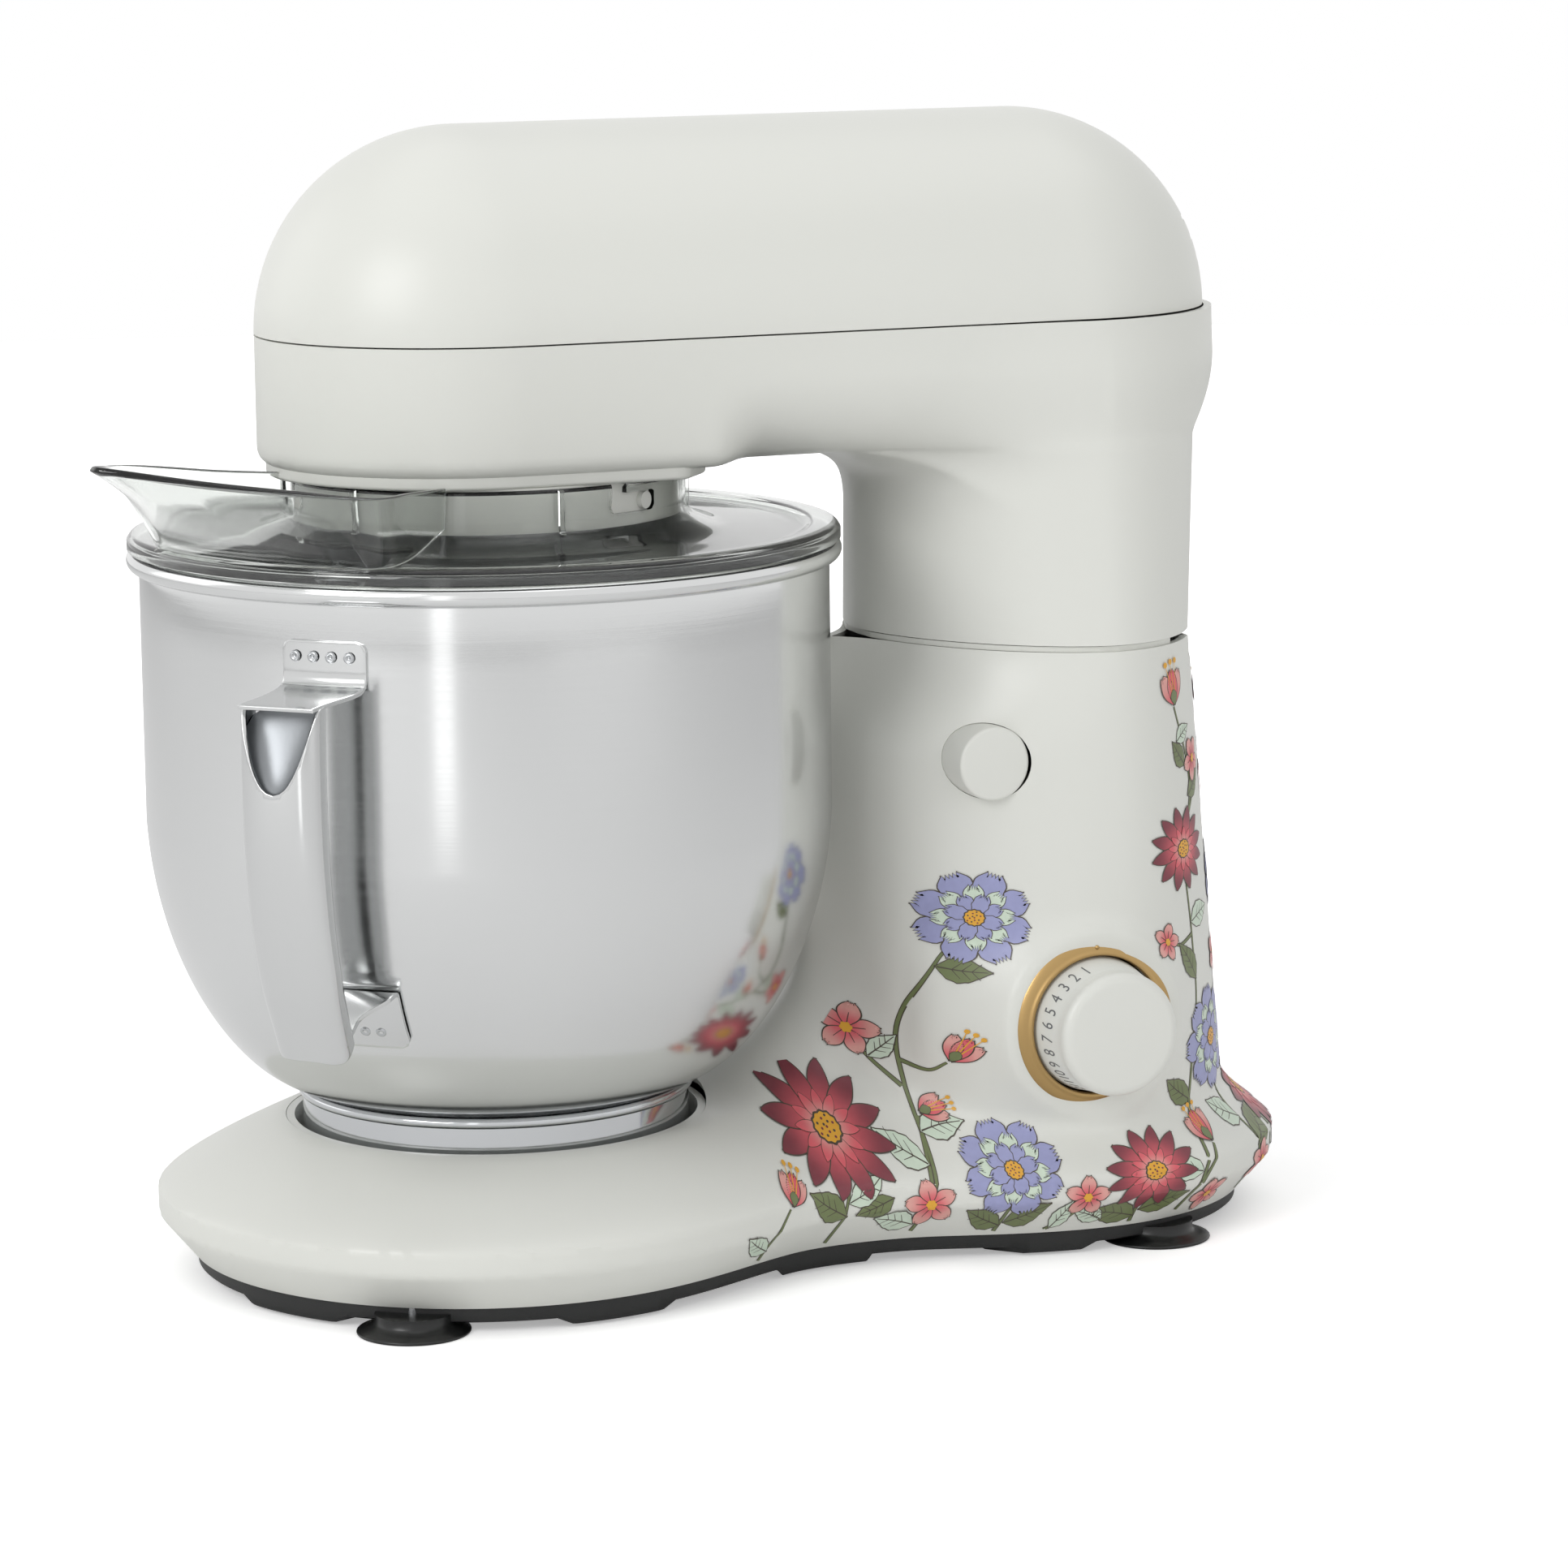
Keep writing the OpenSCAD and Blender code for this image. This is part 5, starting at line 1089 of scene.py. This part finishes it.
# Finds the base's surface at a distance round it and a height: straight in along y on the flank,
# and towards a point in the column round its back
def wrapped(u, z, side, offset):
    area = printArea
    turn = np.maximum(u - area["turnFrom"], 0) / area["turnR"]
    middle = np.stack([np.minimum(u, area["turnFrom"]), 0 * u], 1)
    aim = np.stack([np.sin(turn), -np.cos(turn)], 1)
    low, high = np.full(u.shape, 18.0), np.full(u.shape, 130.0)
    onBase = baseShape(middle[:, 0] + low * aim[:, 0], middle[:, 1] + low * aim[:, 1], z) < 0
    for _ in range(30):
        r = (low + high) / 2
        inside = baseShape(middle[:, 0] + r * aim[:, 0], middle[:, 1] + r * aim[:, 1], z) < 0
        low, high = np.where(inside, r, low), np.where(inside, high, r)
    place = middle + low[:, None] * aim
    p = np.concatenate([place, z[:, None]], 1)
    h = 0.05
    normal = np.stack([baseShape(*(p + h * e).T) - baseShape(*(p - h * e).T) for e in np.eye(3)], 1)
    normal /= np.linalg.norm(normal, axis=1)[:, None] + 1e-9
    p = p + normal * offset[:, None]
    p[:, 1] *= side
    return p, onBase & (normal[:, 0] > -0.93)


class Print:  # gathers flat shapes as (u, height, layer, ink)
    def __init__(self):
        self.points, self.faces, self.colours, self.count = [], [], [], 0

    def grid(self, plan, layer, colours, faces=None):
        rows, cols = plan.shape[:2]
        flat = plan.reshape(-1, 2)
        self.points.append(np.concatenate([flat, np.full((len(flat), 1), layer)], 1))
        self.colours.append(np.broadcast_to(colours, (rows, cols, 4)).reshape(-1, 4))
        self.faces.append((gridFaces(rows, cols) if faces is None else faces) + self.count)
        self.count += len(flat)

    # A petal or leaf from a foot, along a direction: width(t) to each side, a bend to one side, a toothed
    # tip, and round it an edge of ink that shares its points, so nothing lies over anything
    def blade(self, foot, length, direction, width, layer, inner, outer, squeeze=(1, 0), bend=0.0, edge=0.34,
              teeth=0.0):
        rows, cols = 16, 9
        t = np.linspace(0, 1, rows)[[0, 0, *range(rows), -1, -1]][:, None]
        s = np.linspace(-1, 1, cols)[[0, 0, *range(cols), -1, -1]][None]
        beyond = np.zeros((rows + 4, 1))
        beyond[0], beyond[-1] = -edge, edge
        past = np.zeros((1, cols + 4))
        past[0, 0], past[0, -1] = -edge, edge
        zig = np.where(np.arange(cols) % 2, -1, 1)[[0, 0, *range(cols), -1, -1]][None]
        a = math.radians(direction)
        along = t * length + beyond + teeth * length * zig * ease((t - 0.7) / 0.3)
        side = s * width(t) + past + bend * length * t ** 2
        x = along * math.cos(a) - side * math.sin(a)
        y = along * math.sin(a) + side * math.cos(a)
        share, tilt = squeeze
        c, k = math.cos(tilt), math.sin(tilt)
        p, q = x * c + y * k, (-x * k + y * c) * share
        x, y = p * c - q * k, p * k + q * c
        inner, outer, rim = (np.array(srgb(ink[name])) for name in (inner, outer, "line"))
        mixed = mix(inner, outer, ease((t - 0.1) / 0.75)[..., None] + 0 * s[..., None])
        border = np.ones((rows + 4, cols + 4), bool)
        border[2:-2, 2:-2] = False
        mixed = np.where(border[..., None], rim, mixed)
        faces = gridFaces(rows + 4, cols + 4).reshape(rows + 3, cols + 3, 4)
        faces = np.delete(np.delete(faces, [1, rows + 1], 0), [1, cols + 1], 1)
        self.grid(np.stack([foot[0] + x, foot[1] + y], 2), layer, mixed, faces.reshape(-1, 4))

    # Petals round a middle, every other one a little higher
    def bloom(self, middle, size, count, turn, width, layer, inner, outer, squeeze, bend=0.0, edge=0.34, teeth=0.0):
        start = 0.1
        for k in range(count):
            d = turn + 360 * k / count
            a = math.radians(d)
            foot = (middle[0] + size * start * math.cos(a), middle[1] + size * start * math.sin(a) * squeeze[0])
            self.blade(foot, size * (1 - start), d, width, layer + lays["next"] * (k % 2), inner, outer, squeeze,
                       bend, edge, teeth)

    def disc(self, middle, size, layer, colour, squeeze=1.0, waves=0, deep=0.0, steps=48):
        t = np.linspace(0, 1, 4 if steps > 20 else 2)[:, None]
        a = np.linspace(0, 2 * math.pi, steps + 1)[None]
        r = size * t * (1 + deep * np.cos(waves * a))
        plan = np.stack([middle[0] + r * np.cos(a), middle[1] + r * np.sin(a) * squeeze], 2)
        self.grid(plan, layer, srgb(ink[colour]))

    # A line that grows thinner towards its end
    def line(self, points, width, layer, colour):
        p = curve(points, 14)
        d = np.gradient(p, axis=0)
        n = np.stack([-d[:, 1], d[:, 0]], 1) / (np.linalg.norm(d, axis=1)[:, None] + 1e-9)
        share = np.linspace(1, 0.55, len(p))[:, None, None]
        s = np.linspace(-1, 1, 3)[None, :, None]
        self.grid(p[:, None] + n[:, None] * s * share * width / 2, layer, srgb(ink[colour]))


# Half widths of petals and leaves along their length
def slim(size):
    return lambda t: size * 0.155 * np.sin(math.pi * unit(t * 0.94 + 0.05)) ** 0.8 * (0.75 + 0.5 * t)


def broad(size):
    return lambda t: (size * (0.31 * np.sin(math.pi * unit(t ** 1.25 * 0.86 + 0.04)) ** 0.62)
                      * (1 - 0.1 * np.cos(t * 19) * t))


def rounded(size):
    return lambda t: size * 0.34 * np.sin(math.pi * unit(t ** 1.2 * 0.93 + 0.03)) ** 0.7


def leafWide(size):
    return lambda t: size * np.sin(math.pi * unit(t ** 0.8)) ** 1.15 * (1 - 0.12 * np.abs(np.sin(t * 15)))


# Seed head of a flower: a dark-edged disc with dots
def seedHead(p, place, size, lay, share):
    p.disc(place, size * 1.16, lay, "line", share, 12, 0.05)
    p.disc(place, size, lay + 0.03, "mustard", share, 12, 0.05)
    for j in range(13):
        a, r = 2.4 * j, size * 0.24 * math.sqrt(j)
        p.disc((place[0] + r * math.cos(a), place[1] + r * math.sin(a) * share), size * 0.1, lay + 0.06,
               "line" if j % 2 else "maroon", share, steps=10)


# Twelve slim petals, twelve short ones over them, and a seed head
def drawDaisy(p, place, size, turn, squeeze):
    lay = lays["flower"]
    p.bloom(place, size, 12, turn, slim(size), lay, "coral", "maroon", squeeze, bend=0.05)
    p.bloom(place, size * 0.52, 12, turn + 14, slim(size * 0.5), lay + 0.10, "blush", "coral", squeeze, edge=0.16)
    seedHead(p, place, size * 0.2, lay + 0.2, squeeze[0])


# Three rings of eight toothed petals
def drawFrill(p, place, size, turn, squeeze):
    lay = lays["flower"]
    p.bloom(place, size, 8, turn, broad(size), lay, "blue", "blue", squeeze, teeth=0.055)
    p.bloom(place, size * 0.68, 8, turn + 22, broad(size * 0.6), lay + 0.10, "mint", "mint", squeeze, edge=0.24,
            teeth=0.09)
    p.bloom(place, size * 0.5, 8, turn, broad(size * 0.48), lay + 0.2, "blue", "blue", squeeze, edge=0.24,
            teeth=0.08)
    seedHead(p, place, size * 0.17, lay + 0.3, squeeze[0])


# Five round petals, each with a line along it
def drawFive(p, place, size, turn, squeeze):
    lay, share = lays["flower"], squeeze[0]
    p.bloom(place, size, 5, turn, rounded(size), lay, "coral", "blush", squeeze, teeth=0.04)
    for j in range(5):
        a = math.radians(turn + 72 * j)
        tip = (place[0] + size * 0.62 * math.cos(a), place[1] + size * 0.62 * math.sin(a) * share)
        p.line([place, tip], 0.3, lay + 0.13, "line")
    p.disc(place, size * 0.2, lay + 0.17, "mustard", share, 6, 0.1)


# Three petals side by side, three stamens and a green cup, never squeezed
def drawBell(p, place, size, turn, _):
    lay = lays["flower"]
    for j in (-1, 1, 0):
        p.blade(place, size, turn + 27 * j, rounded(size * 0.8), lay + lays["next"] * (j + 1 if j else 2), "coral",
                "blush" if j else "coral", teeth=0.05)
    for j in (-1, 0, 1):
        a = math.radians(turn + 12 * j)
        tip = (place[0] + size * 1.3 * math.cos(a), place[1] + size * 1.3 * math.sin(a))
        p.line([place, tip], 0.4, lay + 0.15, "mustard")
        p.disc(tip, size * 0.09, lay + 0.18, "mustard", steps=12)
    p.blade(place, size * 0.42, turn, rounded(size * 0.5), lay + 0.2, "sage", "sage", edge=0.2)


# A leaf with a bent rib and three pairs of veins
def drawLeaf(p, k, foot, length, width, direction, colour):
    lay = lays["leaf"] + 0.04 * (k % 2)
    lean = 0.12 if k % 2 else -0.12
    p.blade(foot, length, direction, leafWide(width), lay, colour, colour, bend=lean)
    a = math.radians(direction)
    axis, across = np.array([math.cos(a), math.sin(a)]), np.array([-math.sin(a), math.cos(a)])

    def at(t):
        return np.array(foot) + axis * length * t + across * lean * length * t * t

    p.line([at(0.02), at(0.5), at(0.93)], 0.42, lay + 0.03, "line")
    for t in (0.28, 0.46, 0.64):
        for s in (-1, 1):
            vein = [at(t), at(t + 0.08) + across * s * width * 0.3, at(t + 0.17) + across * s * width * 0.62]
            p.line(vein, 0.25, lay + 0.03, "line")


def drawPrint():
    p = Print()
    for k, line in enumerate(stems):
        p.line(line, 1.5, lays["stemEdge"] + 0.003 * (k % 4), "line")
        p.line(line, 0.95, lays["stem"] + 0.003 * (k % 4), "sage")
    for k, leaf in enumerate(leaves):
        drawLeaf(p, k, *leaf)
    draw = {"daisy": drawDaisy, "frill": drawFrill, "five": drawFive, "bell": drawBell}
    for k, (kind, place, size, turn, share) in enumerate(flowers):
        draw[kind](p, place, size, turn, (share, math.radians(20 if k % 2 else -15)))
    return p


# Printed ink: the colour carried by each point, a little uneven, as glossy as the shell
def inkFinish():
    material = finish("printInk", "#ffffff", 0.38, scale=1400.0, bump=0.04)
    n = Nodes(material.node_tree)
    shade = material.node_tree.nodes["Principled BSDF"]
    colour = n.add("ShaderNodeAttribute", attribute_name="ink")
    place = n.add("ShaderNodeTexCoord").outputs["Object"]
    cloud = n.add("ShaderNodeTexNoise", {"Vector": place, "Scale": 260.0, "Detail": 4.0})
    level = n.maths("MULTIPLY_ADD", cloud.outputs["Fac"], 0.24, 0.88)
    shown = n.add("ShaderNodeVectorMath", {0: colour.outputs["Color"]}, operation="SCALE")
    n.tree.links.new(level, shown.inputs["Scale"])
    n.tree.links.new(shown.outputs[0], shade.inputs["Base Color"])
    return material


def makePrint():
    p = drawPrint()
    flat = np.concatenate(p.points)
    area = printArea
    keep = (flat[:, 1] > area["low"]) & (flat[:, 1] < area["high"]) & (flat[:, 0] < area["end"])
    keep &= np.hypot(flat[:, 0] - base["knob"][0], flat[:, 1] - base["knob"][1]) > area["dialR"]
    keep &= wrapped(flat[:, 0], flat[:, 1], 1, flat[:, 2])[1]
    faces = np.concatenate(p.faces)
    faces = faces[keep[faces].all(1)]
    colours = np.concatenate(p.colours)
    material = inkFinish()
    for side, name in ((1, "printNear"), (-1, "printFar")):
        points = wrapped(flat[:, 0], flat[:, 1], side, flat[:, 2])[0]
        piece = newPiece(name, points, faces if side > 0 else faces[:, ::-1], "base", "shell_white")
        layer = piece.data.color_attributes.new("ink", "FLOAT_COLOR", "POINT")
        layer.data.foreach_set("color", colours.ravel())
        piece.data.shade_smooth()
        piece.data.materials.append(material)


makePrint()
print("flowers laid on")


# ---- finishes of the frame's own meshes, by material slot
bySlot = {"shell_white": "shellWhite", "tray_black": "trayBlack", "foot_rubber": "footRubber",
          "screw_steel": "screwSteel", "bracket_steel": "bracketSteelAndScoopShade", "bezel_gold": "bezelGold",
          "inner_plastic": "innerPlastic", "cast_alloy": "castAlloy", "bearing_steel": "bearingSteel",
          "carbon": "carbon", "belt_rubber": "beltRubber", "rotor_steel": "rotorSteel",
          "bowl_steel": "bowlSteel", "guard_clear": "guardClear"}
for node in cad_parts.values():
    for place in node.material_slots:
        label = place.material.name.split(".")[0] if place.material else "inner_plastic"
        place.material = finishes[bySlot.get(label, "innerPlastic")]
print("frame's nodes finished")


# ---- floor, light and background
stage = {"world": 0.47, "lift": 0.36, "near": 0.3, "far": 0.7, "floorR": (0.0001, 0.4, 0.8, 1.6, 3.2)}
lamps = {  # place, what it points at, width, height, power
    "keyLight": ((-1.8, -1.0, 1.3), (-0.02, 0, 0.2), 1.1, 1.1, 18.0),
    "stripLight": ((-0.459, -0.637, 0.30), (-0.063, 0, 0.30), 0.08, 0.58, 0.10),
    "fillLight": ((0.7, -2.0, 0.75), (0.03, 0, 0.15), 1.4, 1.4, 7.0),
    "topLight": ((0.1, 0.1, 1.7), (0, 0, 0), 1.8, 1.8, 7.0),
    "sideLight": ((-1.4, 1.2, 0.9), (0, 0, 0.15), 1.2, 1.2, 3.0),
}


def areaLight(name, place, aim, width, height, power):
    data = bpy.data.lights.new(name, "AREA")
    data.shape, data.size, data.size_y, data.energy = "RECTANGLE", width, height, power
    lamp = bpy.data.objects.new(name, data)
    bpy.context.scene.collection.objects.link(lamp)
    lamp.location = place
    lamp.rotation_euler = (Vector(aim) - Vector(place)).to_track_quat("-Z", "Y").to_euler()


# Loose light from everywhere, and plain white where the camera, a mirror or clear plastic sees the world
def makeWorld():
    world = bpy.data.worlds.new("backdrop")
    bpy.context.scene.world = world
    world.use_nodes = True
    n = Nodes(world.node_tree)
    back = world.node_tree.nodes["Background"]
    path = n.add("ShaderNodeLightPath")
    seen = n.maths("MAXIMUM", n.maths("MAXIMUM", path.outputs["Is Camera Ray"], path.outputs["Is Glossy Ray"]),
                   path.outputs["Is Transmission Ray"])
    strength = n.maths("MULTIPLY_ADD", seen, 1.0 - stage["world"], stage["world"])
    n.tree.links.new(strength, back.inputs["Strength"])
    back.inputs["Color"].default_value = (1, 1, 1, 1)


def makeFloor():
    mesh = bpy.data.meshes.new("floor")
    a = np.linspace(0, 2 * math.pi, 96, endpoint=False)
    r = np.array(stage["floorR"])
    p = np.stack([np.outer(r, np.cos(a)), np.outer(r, np.sin(a)), np.zeros((len(r), len(a)))], 2).reshape(-1, 3)
    mesh.from_pydata(p.tolist(), [], gridFaces(len(r), len(a), closeCols=True).tolist())
    floor = bpy.data.objects.new("floor", mesh)
    bpy.context.scene.collection.objects.link(floor)
    floor.data.materials.append(floorFinish())


# White paper: shaded, so it takes the shadow, and lifted for the camera until the unshaded part is plain white
def floorFinish():
    material = bpy.data.materials.new("paperFloor")
    material.use_nodes = True
    n = Nodes(material.node_tree)
    tree = material.node_tree
    shade = tree.nodes["Principled BSDF"]
    shade.inputs["Roughness"].default_value = 0.9
    shade.inputs["Specular IOR Level"].default_value = 0.1
    place = n.add("ShaderNodeTexCoord").outputs["Object"]
    grain = n.add("ShaderNodeTexNoise", {"Vector": place, "Scale": 300.0})
    tone = n.maths("MULTIPLY_ADD", grain.outputs["Fac"], 0.01, 0.975)
    n.tree.links.new(tone, shade.inputs["Base Color"])
    far = n.add("ShaderNodeVectorMath", {0: place}, operation="LENGTH").outputs["Value"]
    fade = n.add("ShaderNodeMapRange", {"Value": far, "From Min": stage["near"], "From Max": stage["far"],
                                        "To Min": stage["lift"], "To Max": 1.0})
    path = n.add("ShaderNodeLightPath")
    seen = n.maths("MAXIMUM", path.outputs["Is Camera Ray"], path.outputs["Is Transmission Ray"])
    glow = n.add("ShaderNodeEmission", {"Strength": n.maths("MULTIPLY", fade.outputs[0], seen)})
    both = n.add("ShaderNodeAddShader", {0: shade.outputs[0], 1: glow.outputs[0]})
    n.tree.links.new(both.outputs[0], tree.nodes["Material Output"].inputs["Surface"])
    return material


for name, values in lamps.items():
    areaLight(name, *values)
bpy.data.objects["stripLight"].visible_camera = False
bpy.data.objects["fillLight"].visible_glossy = False
makeWorld()
makeFloor()
bpy.context.scene.view_settings.view_transform = "Standard"
print("finishing")
